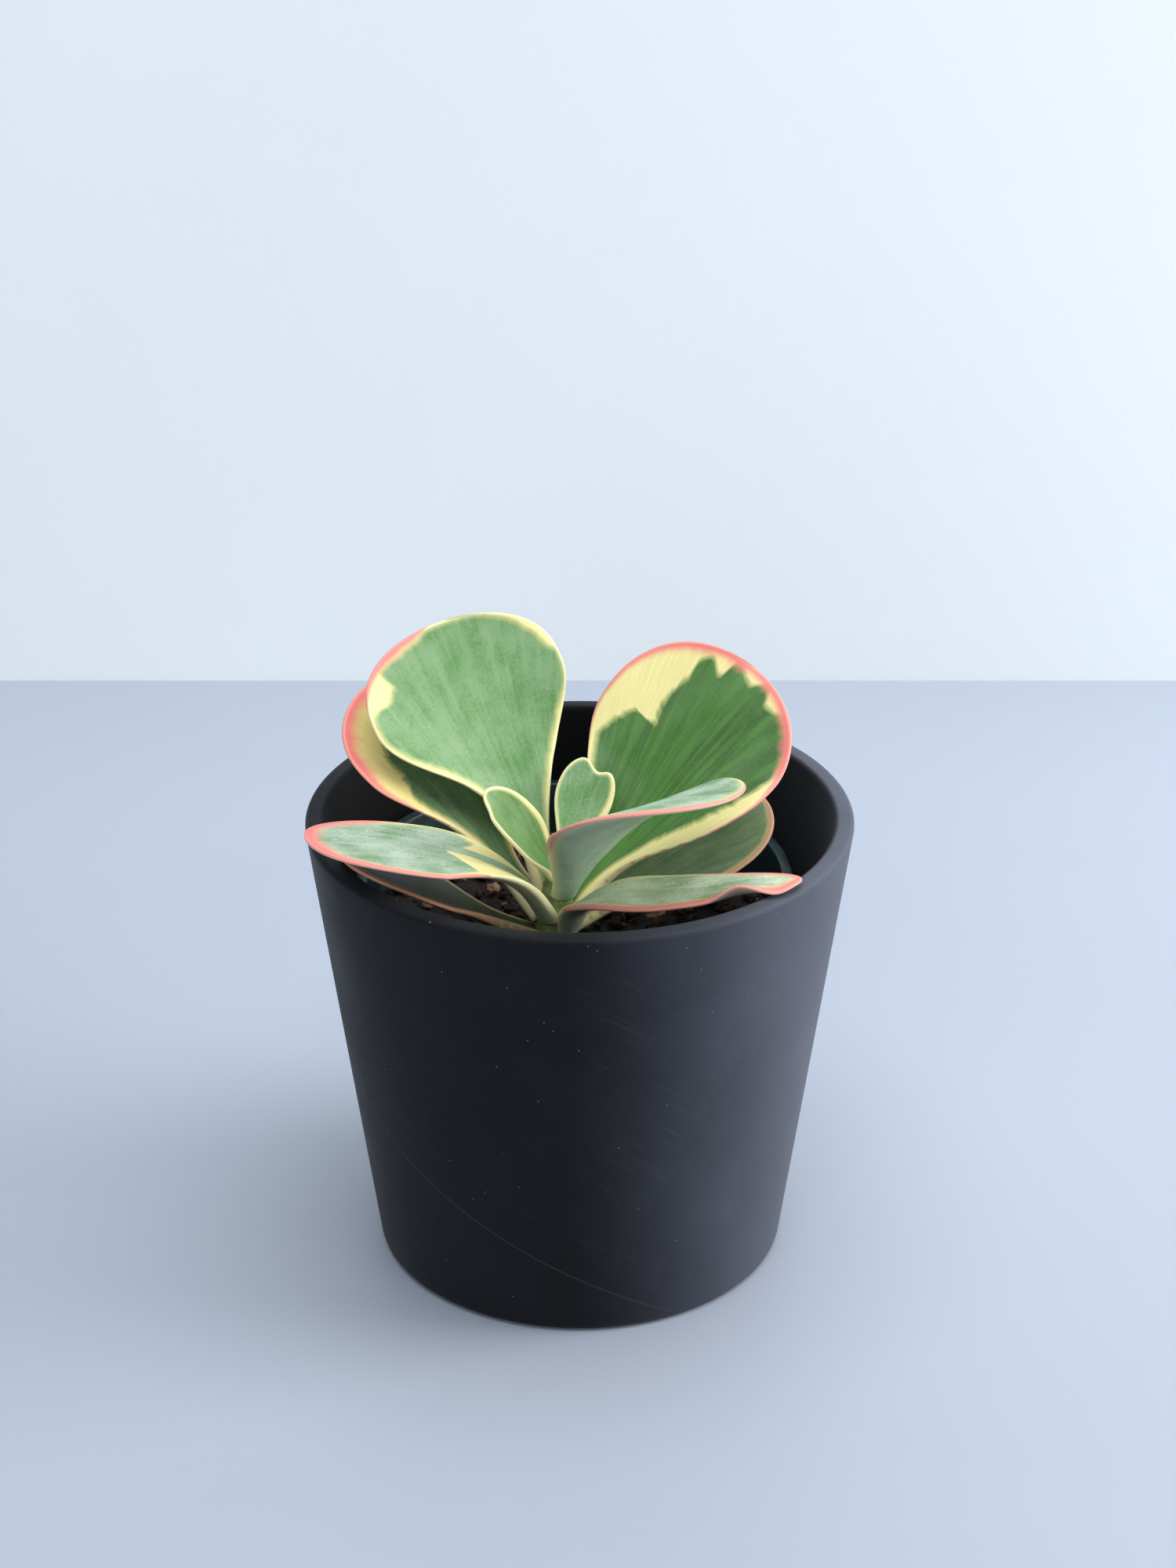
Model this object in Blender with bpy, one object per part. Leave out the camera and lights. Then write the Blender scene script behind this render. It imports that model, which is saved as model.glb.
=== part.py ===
"""Potted paddle-leaf kalanchoe: a planter, a nursery pot with soil, and a rosette of ten leaves.

The meshes are made in millimetres and scaled to metres when they are linked to the scene.
+Z is up and -Y is the front. The origin is the centre of the planter's base, on the surface that
it stands on.
"""

import math
import random
from dataclasses import dataclass

import bmesh
import bpy
from mathutils import Vector

MM = 0.001
GAP = 0.3                      # clearance between pieces that touch

# Planter: a tapered tub with a flat rim
PLANTER_HEIGHT = 131.0
PLANTER_TOP_RADIUS = 75.0
PLANTER_BASE_RADIUS = 57.0
PLANTER_WALL = 5.5
PLANTER_FLOOR = 6.0
PLANTER_RIM_ROUND = 1.4
PLANTER_FOOT_ROUND = 3.0
PLANTER_SEGMENTS = 72

# Nursery pot: a thin moulded 12 cm grower's pot that stands on the planter's floor
NURSERY_HEIGHT = 106.0
NURSERY_RIM_RADIUS = 60.0
NURSERY_LIP_WIDTH = 2.0
NURSERY_LIP_HEIGHT = 7.0
NURSERY_BASE_RADIUS = 43.0
NURSERY_WALL = 1.0
NURSERY_SHIFT_X = -1.5         # it stands slightly off the planter's centre
NURSERY_SEGMENTS = 60
DRAIN_HOLES = 6
DRAIN_HOLE_RADIUS = 5.0
DRAIN_CIRCLE_RADIUS = 30.0

# Soil: fills the nursery pot and is mounded slightly round the stem
SOIL_EDGE_HEIGHT = 98.5
SOIL_MOUND = 1.0
SOIL_SEGMENTS = 48
SOIL_RINGS = 7

# Stem: centre line from its buried end to its tip, and the radius at each of those points
STEM_LINE = [(-7.6, -19.2, 84), (-7.2, -18.6, 95), (-6.8, -17.8, 105), (-6.2, -16.6, 115),
             (-5.6, -15.8, 124.5)]
STEM_RADII = [5.6, 6.2, 5.6, 4.4, 2.2]
STEM_CLEARANCE = 0.45          # radial room round the stem for the leaf bases and the soil
STEM_RINGS = 12
STEM_SIDES = 16

# Leaves: rows and columns of the mesh that each blade is made from
LEAF_LOW_ROWS = 8              # from the base to the widest place
LEAF_TIP_ROWS = 6              # from the widest place to the tip
LEAF_SIDES = 16                # points round one cross-section
EDGE_ROUNDNESS = 0.6           # 1 is an ellipse, less is a flatter blade with a rounder margin

BARK_CHIPS = 10
BARK_SEED = 4

PLANTER_COLOUR = (0.020, 0.021, 0.025)
NURSERY_COLOUR = (0.004, 0.016, 0.018)
SOIL_COLOUR = (0.018, 0.010, 0.007)
STEM_COLOUR = (0.20, 0.27, 0.09)
BARK_COLOUR = (0.26, 0.14, 0.07)


@dataclass
class Leaf:
    """One paddle-shaped leaf. Lengths are in millimetres and angles in degrees."""

    name: str
    spine: list                # midrib from the stem to the tip
    face: list                 # direction of the upper face at the base, the middle and the tip
    left: float                # half-width to the left of the midrib, seen from above
    right: float               # half-width to the right
    petiole: float             # half-width at the stem
    flare: float               # place along the midrib where the blade starts to widen
    widest: float              # place where it is widest
    waist: tuple               # left and right: above 1 keeps the lower half of the blade narrow
    tip: float                 # 2 is an elliptical tip, more is squarer
    cup: list                  # how far the margins lift, at the base, the middle and the tip
    thick: tuple               # thickness of the petiole and of the blade
    colour: tuple
    notch: tuple = (0.0, 1.0, 0.0)    # depth, half-width and offset of a notch in the tip


LEAVES = [
    Leaf("leaf_back_left_tall",
         spine=[(-8.4, -14.0, 113), (-14, -5.5, 128), (-21.5, 1, 143), (-30, 8, 162), (-37, 15, 181.6)],
         face=[(0.45, -0.75, 0.45), (0.45, -0.78, 0.45), (0.25, -0.85, 0.45)],
         left=30.5, right=28, petiole=4.2, flare=0.06, widest=0.73, waist=(2.4, 1.3), tip=2.5,
         cup=[50, 22, 10], thick=(4.6, 2.4), colour=(0.20, 0.36, 0.17)),
    Leaf("leaf_left_tall",
         spine=[(-10.0, -15.4, 107), (-20, -8, 118), (-31, -1, 132), (-44, 6, 147), (-58, 13, 163)],
         face=[(0.5, -0.4, 0.75), (0.5, -0.5, 0.7), (0.45, -0.6, 0.6)],
         left=22.5, right=24, petiole=4.4, flare=0.10, widest=0.72, waist=(2.1, 1.6), tip=2.5,
         cup=[50, 22, 12], thick=(4.6, 2.4), colour=(0.55, 0.42, 0.17)),
    Leaf("leaf_right_tall",
         spine=[(-3.0, -15.8, 109.3), (9, -8, 122), (21, -1, 136), (34.5, 8, 152), (48, 15, 167)],
         face=[(-0.4, -0.55, 0.7), (-0.4, -0.65, 0.6), (-0.3, -0.8, 0.5)],
         left=30, right=28.5, petiole=4.4, flare=0.06, widest=0.64, waist=(1.0, 1.15), tip=2.5,
         cup=[50, 22, 10], thick=(4.6, 2.4), colour=(0.06, 0.19, 0.03)),
    Leaf("leaf_front_right",
         spine=[(-4.2, -19.0, 115.5), (0.5, -26.5, 129), (9.5, -34, 143.5), (21.5, -43, 154),
                (38.5, -54, 160.5)],
         face=[(-0.3, 0.5, 0.8), (-0.05, 0.22, 0.94), (-0.08, 0.25, 0.93)],
         left=26, right=26, petiole=3.8, flare=0.0, widest=0.62, waist=(1.0, 1.05), tip=2.4,
         cup=[50, 8, 4], thick=(4.6, 2.4), colour=(0.40, 0.55, 0.42)),
    Leaf("leaf_right_low",
         spine=[(-3.8, -15.2, 104), (12, -8, 111), (25, -1, 118), (38, 6, 124), (50, 13, 130)],
         face=[(-0.2, -0.3, 0.9), (-0.2, -0.35, 0.9), (-0.2, -0.4, 0.85)],
         left=20, right=20, petiole=4.4, flare=0.12, widest=0.62, waist=(1.0, 1.0), tip=2.3,
         cup=[50, 20, 10], thick=(4.4, 2.3), colour=(0.13, 0.17, 0.08)),
    Leaf("leaf_front_low",
         spine=[(-2.9, -22.6, 106.6), (0.3, -27, 115.5), (6, -32, 120.5), (20, -38, 124.5),
                (38, -42, 128.5), (58, -46, 133.5)],
         face=[(-0.3, 0.2, 0.92), (-0.15, 0.12, 0.97), (-0.1, 0.2, 0.95)],
         left=12, right=13, petiole=3.6, flare=0.0, widest=0.45, waist=(0.7, 0.7), tip=2.4,
         cup=[30, 10, 6], thick=(4.4, 2.3), colour=(0.36, 0.46, 0.33)),
    Leaf("leaf_left_level",
         spine=[(-8.8, -20.3, 109.2), (-15.2, -25.4, 121), (-27, -28, 130), (-49, -28.5, 135.6),
                (-72.8, -28.5, 138.6)],
         face=[(0.4, 0.15, 0.8), (0.2, 0.08, 0.95), (0.05, 0.1, 0.95)],
         left=27, right=12, petiole=4.2, flare=0.06, widest=0.58, waist=(1.2, 1.2), tip=2.3,
         cup=[50, 14, 6], thick=(4.6, 2.4), colour=(0.42, 0.58, 0.46)),
    Leaf("leaf_left_low",
         spine=[(-10.4, -18.6, 102.2), (-22, -22, 108.5), (-36, -26, 117.5), (-50, -29, 126.5),
                (-63.5, -30, 133)],
         face=[(0.3, 0.1, 0.9), (0.3, 0.12, 0.9), (0.3, 0.15, 0.9)],
         left=15.5, right=18, petiole=4.2, flare=0.12, widest=0.68, waist=(1.5, 1.5), tip=2.3,
         cup=[50, 16, 6], thick=(4.4, 2.3), colour=(0.09, 0.11, 0.04)),
    Leaf("young_leaf_back",
         spine=[(-4.6, -14.4, 119.5), (-1.2, -7.8, 130), (1.5, -3, 138), (4.5, 1, 147)],
         face=[(0, -0.8, 0.5), (0, -0.85, 0.5), (0, -0.85, 0.5)],
         left=8, right=8, petiole=3.0, flare=0.1, widest=0.66, waist=(1.0, 1.0), tip=2.3,
         cup=[40, 20, 10], thick=(2.6, 1.8), colour=(0.30, 0.48, 0.26), notch=(3.5, 3.0, 1.5)),
    Leaf("young_leaf_left",
         spine=[(-7.8, -17.0, 120.5), (-12.8, -21.8, 130), (-18.5, -26.5, 140), (-26, -31, 150.5)],
         face=[(0.6, -0.3, 0.5), (0.6, -0.35, 0.5), (0.6, -0.4, 0.5)],
         left=7.5, right=9.5, petiole=2.8, flare=0.0, widest=0.45, waist=(1.0, 0.6), tip=2.3,
         cup=[60, 40, 30], thick=(2.6, 1.8), colour=(0.42, 0.52, 0.25), notch=(3.0, 2.5, -2.0)),
]


# ---------------------------------------------------------------------------------- helpers

def clear_scene():
    for item in list(bpy.data.objects):
        bpy.data.objects.remove(item, do_unlink=True)


def make_material(name, colour, roughness, metallic=0.0):
    material = bpy.data.materials.new(name)
    material.use_nodes = True
    shader = material.node_tree.nodes["Principled BSDF"]
    shader.inputs["Base Color"].default_value = (*colour, 1.0)
    shader.inputs["Roughness"].default_value = roughness
    shader.inputs["Metallic"].default_value = metallic
    material.diffuse_color = (*colour, 1.0)
    return material


def link_mesh(name, mesh_edit, material):
    """Turn a bmesh in millimetres into a linked object in metres, with its faces pointing out."""
    bmesh.ops.recalc_face_normals(mesh_edit, faces=mesh_edit.faces)
    bmesh.ops.scale(mesh_edit, vec=(MM, MM, MM), verts=mesh_edit.verts)
    mesh = bpy.data.meshes.new(name)
    mesh_edit.to_mesh(mesh)
    mesh_edit.free()
    mesh.materials.append(material)
    mesh.shade_smooth()
    mesh.set_sharp_from_angle(angle=math.radians(50))
    result = bpy.data.objects.new(name, mesh)
    bpy.context.collection.objects.link(result)
    return result


def mark_cutter(cutter):
    cutter.hide_render = True
    cutter.display_type = 'WIRE'


def cut(target, cutter):
    boolean = target.modifiers.new("Cut " + cutter.name, 'BOOLEAN')
    boolean.operation = 'DIFFERENCE'
    boolean.solver = 'EXACT'
    boolean.object = cutter


def smooth_step(value):
    value = min(max(value, 0.0), 1.0)
    return value * value * (3.0 - 2.0 * value)


def blend(keys, place):
    """Interpolate linearly between evenly spaced keys, at a place from 0 to 1."""
    scaled = min(max(place, 0.0), 1.0) * (len(keys) - 1)
    index = min(int(scaled), len(keys) - 2)
    part = scaled - index
    if isinstance(keys[0], (int, float)):
        return keys[index] * (1.0 - part) + keys[index + 1] * part
    return Vector(keys[index]).lerp(Vector(keys[index + 1]), part)


class Path:
    """A smooth curve through a few points, measured from 0 at the first to 1 at the last."""

    def __init__(self, points):
        self.points = [Vector(point) for point in points]
        self.knots = [0.0]
        for start, end in zip(self.points, self.points[1:]):
            self.knots.append(self.knots[-1] + (end - start).length)
        self.length = self.knots[-1]
        self.knots = [knot / self.length for knot in self.knots]
        self.slopes = [self._slope(index) for index in range(len(self.points))]

    def _chord(self, index):
        rise = self.points[index + 1] - self.points[index]
        return rise / (self.knots[index + 1] - self.knots[index])

    def _slope(self, index):
        last = len(self.points) - 1
        if index == 0:
            return self._chord(0) * 1.5 - (self._chord(0) + self._chord(1)) * 0.25
        if index == last:
            return self._chord(last - 1) * 1.5 - (self._chord(last - 1) + self._chord(last - 2)) * 0.25
        return (self._chord(index - 1) + self._chord(index)) * 0.5

    def at(self, place):
        place = min(max(place, 0.0), 1.0)
        index = 0
        while index < len(self.points) - 2 and place > self.knots[index + 1]:
            index += 1
        span = self.knots[index + 1] - self.knots[index]
        t = (place - self.knots[index]) / span
        return (self.points[index] * (2 * t ** 3 - 3 * t ** 2 + 1)
                + self.slopes[index] * span * (t ** 3 - 2 * t ** 2 + t)
                + self.points[index + 1] * (3 * t ** 2 - 2 * t ** 3)
                + self.slopes[index + 1] * span * (t ** 3 - t ** 2))

    def direction(self, place, step=0.002):
        return (self.at(place + step) - self.at(place - step)).normalized()


def rounded(profile, radii, steps=3):
    """Replace each corner of an open profile by an arc. A radius of 0 keeps the corner."""
    result = []
    for index, (point, radius) in enumerate(zip(profile, radii)):
        corner = Vector(point)
        if radius == 0 or index in (0, len(profile) - 1):
            result.append(corner)
            continue
        before = (Vector(profile[index - 1]) - corner).normalized()
        after = (Vector(profile[index + 1]) - corner).normalized()
        half = before.angle(after) / 2
        centre = corner + (before + after).normalized() * (radius / math.sin(half))
        start = corner + before * (radius / math.tan(half)) - centre
        end = corner + after * (radius / math.tan(half)) - centre
        for step in range(steps + 1):
            result.append(centre + start.slerp(end, step / steps) * radius)
    return result


def lathe(profile, segments, shift_x=0.0):
    """Turn a profile of (radius, height) points, which starts and ends on the axis, into a solid."""
    mesh_edit = bmesh.new()
    rings = []
    for radius, height in profile:
        if radius < 1e-6:
            rings.append([mesh_edit.verts.new((shift_x, 0.0, height))])
            continue
        ring = []
        for step in range(segments):
            angle = 2 * math.pi * step / segments
            place = (shift_x + radius * math.cos(angle), radius * math.sin(angle), height)
            ring.append(mesh_edit.verts.new(place))
        rings.append(ring)
    join_rings(mesh_edit, rings)
    return mesh_edit


def join_rings(mesh_edit, rings):
    """Bridge neighbouring rings of points. A ring of one point closes the end with a fan."""
    for lower, upper in zip(rings, rings[1:]):
        count = max(len(lower), len(upper))
        for step in range(count):
            following = (step + 1) % count
            corners = [lower[step % len(lower)], lower[following % len(lower)],
                       upper[following % len(upper)], upper[step % len(upper)]]
            corners = list(dict.fromkeys(corners))
            mesh_edit.faces.new(corners)


# ---------------------------------------------------------------------------------- the pots

def planter_inner_radius(height):
    """Radius of the planter's inner wall at a height above the base."""
    slope = (PLANTER_TOP_RADIUS - PLANTER_BASE_RADIUS) / PLANTER_HEIGHT
    return PLANTER_BASE_RADIUS - PLANTER_WALL + slope * height


def build_planter():
    profile = [(0, 0),
               (PLANTER_BASE_RADIUS, 0),
               (PLANTER_TOP_RADIUS, PLANTER_HEIGHT),
               (planter_inner_radius(PLANTER_HEIGHT), PLANTER_HEIGHT),
               (planter_inner_radius(PLANTER_FLOOR), PLANTER_FLOOR),
               (0, PLANTER_FLOOR)]
    radii = [0, PLANTER_FOOT_ROUND, PLANTER_RIM_ROUND, PLANTER_RIM_ROUND, 4.0, 0]
    material = make_material("planter_matte", PLANTER_COLOUR, 0.62)
    return link_mesh("outer_pot", lathe(rounded(profile, radii), PLANTER_SEGMENTS), material)


def nursery_levels():
    """Heights of the nursery pot's base, of the inside of its floor, of its lip and of its top."""
    base = PLANTER_FLOOR + GAP
    top = base + NURSERY_HEIGHT
    return base, base + NURSERY_WALL, top - NURSERY_LIP_HEIGHT, top


def nursery_outer_radius(height):
    """Radius of the nursery pot's outside below its lip."""
    base, _, _, top = nursery_levels()
    upper = NURSERY_RIM_RADIUS - NURSERY_LIP_WIDTH
    return NURSERY_BASE_RADIUS + (upper - NURSERY_BASE_RADIUS) * (height - base) / (top - base)


def build_nursery_pot():
    base, floor, lip, top = nursery_levels()
    profile = [(0, base),
               (nursery_outer_radius(base), base),
               (nursery_outer_radius(lip), lip),
               (NURSERY_RIM_RADIUS - 0.6, lip),
               (NURSERY_RIM_RADIUS, top),
               (nursery_outer_radius(top) - NURSERY_WALL, top),
               (nursery_outer_radius(lip) - NURSERY_WALL, lip),
               (nursery_outer_radius(floor) - NURSERY_WALL, floor),
               (0, floor)]
    radii = [0, 0.5, 0, 0, 0.4, 0.4, 0, 0.5, 0]
    material = make_material("nursery_plastic", NURSERY_COLOUR, 0.35)
    pot = link_mesh("nursery_pot",
                    lathe(rounded(profile, radii, 2), NURSERY_SEGMENTS, NURSERY_SHIFT_X), material)
    for index in range(DRAIN_HOLES):
        angle = 2 * math.pi * (index + 0.5) / DRAIN_HOLES
        hole = bmesh.new()
        bmesh.ops.create_cone(hole, cap_ends=True, segments=12, radius1=DRAIN_HOLE_RADIUS,
                              radius2=DRAIN_HOLE_RADIUS, depth=6 * NURSERY_WALL)
        centre = (NURSERY_SHIFT_X + DRAIN_CIRCLE_RADIUS * math.cos(angle),
                  DRAIN_CIRCLE_RADIUS * math.sin(angle),
                  (base + floor) / 2)
        bmesh.ops.translate(hole, vec=centre, verts=hole.verts)
        cutter = link_mesh(f"drain_hole_cutter_{index + 1}", hole, material)
        mark_cutter(cutter)
        cut(pot, cutter)
    return pot


# ---------------------------------------------------------------------------------- soil and bark

def soil_height(x, y):
    """Height of the soil's surface: a low mound with soft lumps."""
    stem_x, stem_y, _ = STEM_LINE[1]
    mound = SOIL_MOUND * math.exp(-((x - stem_x) ** 2 + (y - stem_y) ** 2) / (2 * 22.0 ** 2))
    lumps = 0.5 * math.sin(0.21 * x + 0.6) * math.cos(0.17 * y - 0.4) + 0.3 * math.sin(0.13 * y + 0.37 * x)
    return SOIL_EDGE_HEIGHT + mound + lumps


def build_soil(stem_cutter):
    _, floor, _, _ = nursery_levels()
    bottom = floor + GAP
    inset = NURSERY_WALL + GAP

    def side(height):
        return nursery_outer_radius(height) - inset

    mesh_edit = bmesh.new()
    rings = [[mesh_edit.verts.new((NURSERY_SHIFT_X, 0, bottom))]]
    levels = [(side(bottom) - 1.0, bottom), (side(bottom + 1.5), bottom + 1.5)]
    for radius, height in levels:
        rings.append(soil_ring(mesh_edit, radius, lambda x, y, level=height: level))
    edge = side(SOIL_EDGE_HEIGHT - 3.0)
    rings.append(soil_ring(mesh_edit, edge, lambda x, y: soil_height(x, y) - 1.5))
    for step in range(SOIL_RINGS):
        radius = (edge - 1.5) * (1 - step / SOIL_RINGS)
        rings.append(soil_ring(mesh_edit, radius, soil_height))
    centre = (NURSERY_SHIFT_X, 0, soil_height(NURSERY_SHIFT_X, 0))
    rings.append([mesh_edit.verts.new(centre)])
    join_rings(mesh_edit, rings)
    bmesh.ops.triangulate(mesh_edit, faces=mesh_edit.faces)
    material = make_material("potting_soil", SOIL_COLOUR, 0.95)
    soil = link_mesh("potting_soil", mesh_edit, material)
    cut(soil, stem_cutter)
    return soil


def soil_ring(mesh_edit, radius, height_at):
    ring = []
    for step in range(SOIL_SEGMENTS):
        angle = 2 * math.pi * step / SOIL_SEGMENTS
        x = NURSERY_SHIFT_X + radius * math.cos(angle)
        y = radius * math.sin(angle)
        ring.append(mesh_edit.verts.new((x, y, height_at(x, y))))
    return ring


def build_bark():
    """Loose chips of bark that lie on the soil, clear of the stem and of each other."""
    chance = random.Random(BARK_SEED)
    material = make_material("bark_chip", BARK_COLOUR, 0.9)
    placed = []
    while len(placed) < BARK_CHIPS:
        radius = chance.uniform(20, 49)
        angle = chance.uniform(0, 2 * math.pi)
        size = chance.uniform(3.5, 6.0)
        x = NURSERY_SHIFT_X + radius * math.cos(angle)
        y = radius * math.sin(angle)
        from_stem = math.hypot(x - STEM_LINE[1][0], y - STEM_LINE[1][1])
        near = any(math.hypot(x - a, y - b) < 1.3 * (size + other) for a, b, other in placed)
        if near or from_stem < 15:
            continue
        placed.append((x, y, size))
        build_bark_chip(len(placed), x, y, size, chance, material)


def build_bark_chip(number, x, y, size, chance, material):
    chip = bmesh.new()
    bmesh.ops.create_icosphere(chip, subdivisions=1, radius=1.0)
    turn = chance.uniform(0, math.pi)
    length = size * chance.uniform(0.9, 1.1)
    width = size * chance.uniform(0.5, 0.7)
    height = size * chance.uniform(0.25, 0.35)
    for vert in chip.verts:
        jitter = chance.uniform(0.82, 1.1)
        along = vert.co.x * length * jitter
        across = vert.co.y * width * jitter
        vert.co = Vector((x + along * math.cos(turn) - across * math.sin(turn),
                          y + along * math.sin(turn) + across * math.cos(turn),
                          vert.co.z * height))
    lift = max(soil_height(vert.co.x, vert.co.y) - vert.co.z for vert in chip.verts)
    bmesh.ops.translate(chip, vec=(0, 0, lift + 2 * GAP), verts=chip.verts)
    link_mesh(f"bark_chip_{number:02d}", chip, material)


# ---------------------------------------------------------------------------------- the plant

def stem_mesh(extra):
    """The stem as a tapered round bar, made thicker by extra for a cutter."""
    path = Path(STEM_LINE)
    mesh_edit = bmesh.new()
    first = path.at(0.0) - path.direction(0.0) * (1.5 + extra)
    rings = [[mesh_edit.verts.new(first)]]
    for row in range(STEM_RINGS):
        place = row / (STEM_RINGS - 1)
        centre = path.at(place)
        forward = path.direction(place)
        side = forward.cross(Vector((0, 1, 0))).normalized()
        up = side.cross(forward)
        radius = blend(STEM_RADII, place) + extra
        ring = []
        for step in range(STEM_SIDES):
            angle = 2 * math.pi * step / STEM_SIDES
            offset = side * math.cos(angle) + up * math.sin(angle)
            ring.append(mesh_edit.verts.new(centre + offset * radius))
        rings.append(ring)
    last = path.at(1.0) + path.direction(1.0) * (0.8 + extra)
    rings.append([mesh_edit.verts.new(last)])
    join_rings(mesh_edit, rings)
    return mesh_edit


def build_stem():
    material = make_material("stem_green", STEM_COLOUR, 0.55)
    return link_mesh("stem", stem_mesh(0.0), material)


def build_stem_cutter():
    """The stem with its clearance, which shapes the leaf bases and the hole in the soil."""
    material = make_material("cutter", (0.5, 0.5, 0.5), 0.5)
    cutter = link_mesh("stem_clearance_cutter", stem_mesh(STEM_CLEARANCE), material)
    mark_cutter(cutter)
    return cutter


def leaf_places(leaf):
    """Rows along the midrib, closer together towards the round tip."""
    low = [leaf.widest * row / LEAF_LOW_ROWS for row in range(LEAF_LOW_ROWS)]
    tip = [leaf.widest + (1 - leaf.widest) * math.sin(math.pi / 2 * row / LEAF_TIP_ROWS)
           for row in range(LEAF_TIP_ROWS)]
    return low + tip


def half_width(leaf, side, place):
    """Half-width of one side of the blade at a place along the midrib."""
    full, waist = (leaf.right, leaf.waist[1]) if side > 0 else (leaf.left, leaf.waist[0])
    if place < leaf.widest:
        growth = smooth_step((place - leaf.flare) / (leaf.widest - leaf.flare)) ** waist
        return leaf.petiole + (full - leaf.petiole) * growth
    past = (place - leaf.widest) / (1 - leaf.widest)
    return full * math.sqrt(max(1 - past ** leaf.tip, 0.0))


def leaf_point(leaf, path, place, angle):
    """A point on the leaf's skin, at a place along it and an angle round its cross-section."""
    forward = path.direction(place)
    face = blend(leaf.face, place)
    face = (face - forward * face.dot(forward)).normalized()
    across = forward.cross(face)
    side = 1.0 if math.cos(angle) >= 0 else -1.0
    reach = abs(math.cos(angle))
    width = half_width(leaf, side, place)
    bend = math.radians(blend(leaf.cup, place))
    lateral = width * math.sin(bend * reach) / bend * side
    lift = width * (1 - math.cos(bend * reach)) / bend
    petiole_thick, blade_thick = leaf.thick
    thick = petiole_thick + (blade_thick - petiole_thick) * smooth_step(place / (0.75 * leaf.widest))
    if place > leaf.widest:
        thick *= math.sqrt(max(1 - ((place - leaf.widest) / (1 - leaf.widest)) ** 8, 0.0))
    height = math.sin(angle)
    half_thick = 0.5 * thick * math.copysign(abs(height) ** EDGE_ROUNDNESS, height)
    skin = face * math.cos(bend * reach) - across * math.sin(bend * reach) * side
    point = path.at(place) + across * lateral + face * lift + skin * half_thick
    depth, spread, offset = leaf.notch
    notch = depth * math.exp(-((lateral - offset) / spread) ** 2) * smooth_step((place - 0.55) / 0.4)
    return point - forward * notch


def build_leaf(leaf, stem_cutter):
    path = Path(leaf.spine)
    mesh_edit = bmesh.new()
    rings = [[mesh_edit.verts.new(path.at(0.0))]]
    for place in leaf_places(leaf):
        ring = []
        for step in range(LEAF_SIDES):
            angle = 2 * math.pi * step / LEAF_SIDES
            ring.append(mesh_edit.verts.new(leaf_point(leaf, path, place, angle)))
        rings.append(ring)
    rings.append([mesh_edit.verts.new(leaf_point(leaf, path, 1.0, math.pi / 2))])
    join_rings(mesh_edit, rings)
    result = link_mesh(leaf.name, mesh_edit, make_material(leaf.name + "_skin", leaf.colour, 0.5))
    cut(result, stem_cutter)
    return result


def build_bud():
    """The closed bud at the top of the stem, still folded between the two young leaves."""
    path = Path(STEM_LINE)
    base = path.at(1.0) + path.direction(1.0) * (0.8 + 2 * GAP)
    profile = [(0, 0), (1.3, 0.6), (1.9, 2.2), (1.7, 4.0), (0.9, 5.6), (0, 6.4)]
    mesh_edit = lathe(profile, 12)
    for vert in mesh_edit.verts:
        vert.co.y *= 0.75
    bmesh.ops.translate(mesh_edit, vec=base, verts=mesh_edit.verts)
    return link_mesh("leaf_bud", mesh_edit, make_material("bud_green", (0.42, 0.55, 0.22), 0.5))


def main():
    clear_scene()
    build_planter()
    build_nursery_pot()
    stem_cutter = build_stem_cutter()
    build_soil(stem_cutter)
    build_bark()
    build_stem()
    for leaf in LEAVES:
        build_leaf(leaf, stem_cutter)
    build_bud()


main()
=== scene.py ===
"""Looks of the potted kalanchoe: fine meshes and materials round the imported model, a floor, a
backdrop, soft daylight from the right and the camera. Design values are in millimetres; the
meshes are scaled to metres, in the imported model's frame."""

import math
import random
from dataclasses import dataclass, field

import bmesh
import bpy
import numpy as np
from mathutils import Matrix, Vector, noise


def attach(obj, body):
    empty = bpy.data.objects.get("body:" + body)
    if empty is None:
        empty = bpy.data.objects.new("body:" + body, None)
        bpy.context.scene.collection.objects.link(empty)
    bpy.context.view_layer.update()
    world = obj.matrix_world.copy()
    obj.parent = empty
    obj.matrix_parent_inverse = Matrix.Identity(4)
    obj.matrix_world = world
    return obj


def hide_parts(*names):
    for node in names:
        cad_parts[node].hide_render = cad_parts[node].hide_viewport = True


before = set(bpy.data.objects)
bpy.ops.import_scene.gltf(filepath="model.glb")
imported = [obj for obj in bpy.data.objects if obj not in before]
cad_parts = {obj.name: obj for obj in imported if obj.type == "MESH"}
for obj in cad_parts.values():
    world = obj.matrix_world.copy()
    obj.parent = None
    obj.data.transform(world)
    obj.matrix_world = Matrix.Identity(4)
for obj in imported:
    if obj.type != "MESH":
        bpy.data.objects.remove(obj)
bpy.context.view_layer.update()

MM = 0.001

# Planter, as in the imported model. Lengths are in millimetres from here to the stage
PLANTER_HEIGHT = 131.0
PLANTER_TOP_RADIUS = 75.0
PLANTER_BASE_RADIUS = 57.0
PLANTER_WALL = 5.5
PLANTER_FLOOR = 6.0
PLANTER_SEGMENTS = 192

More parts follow.
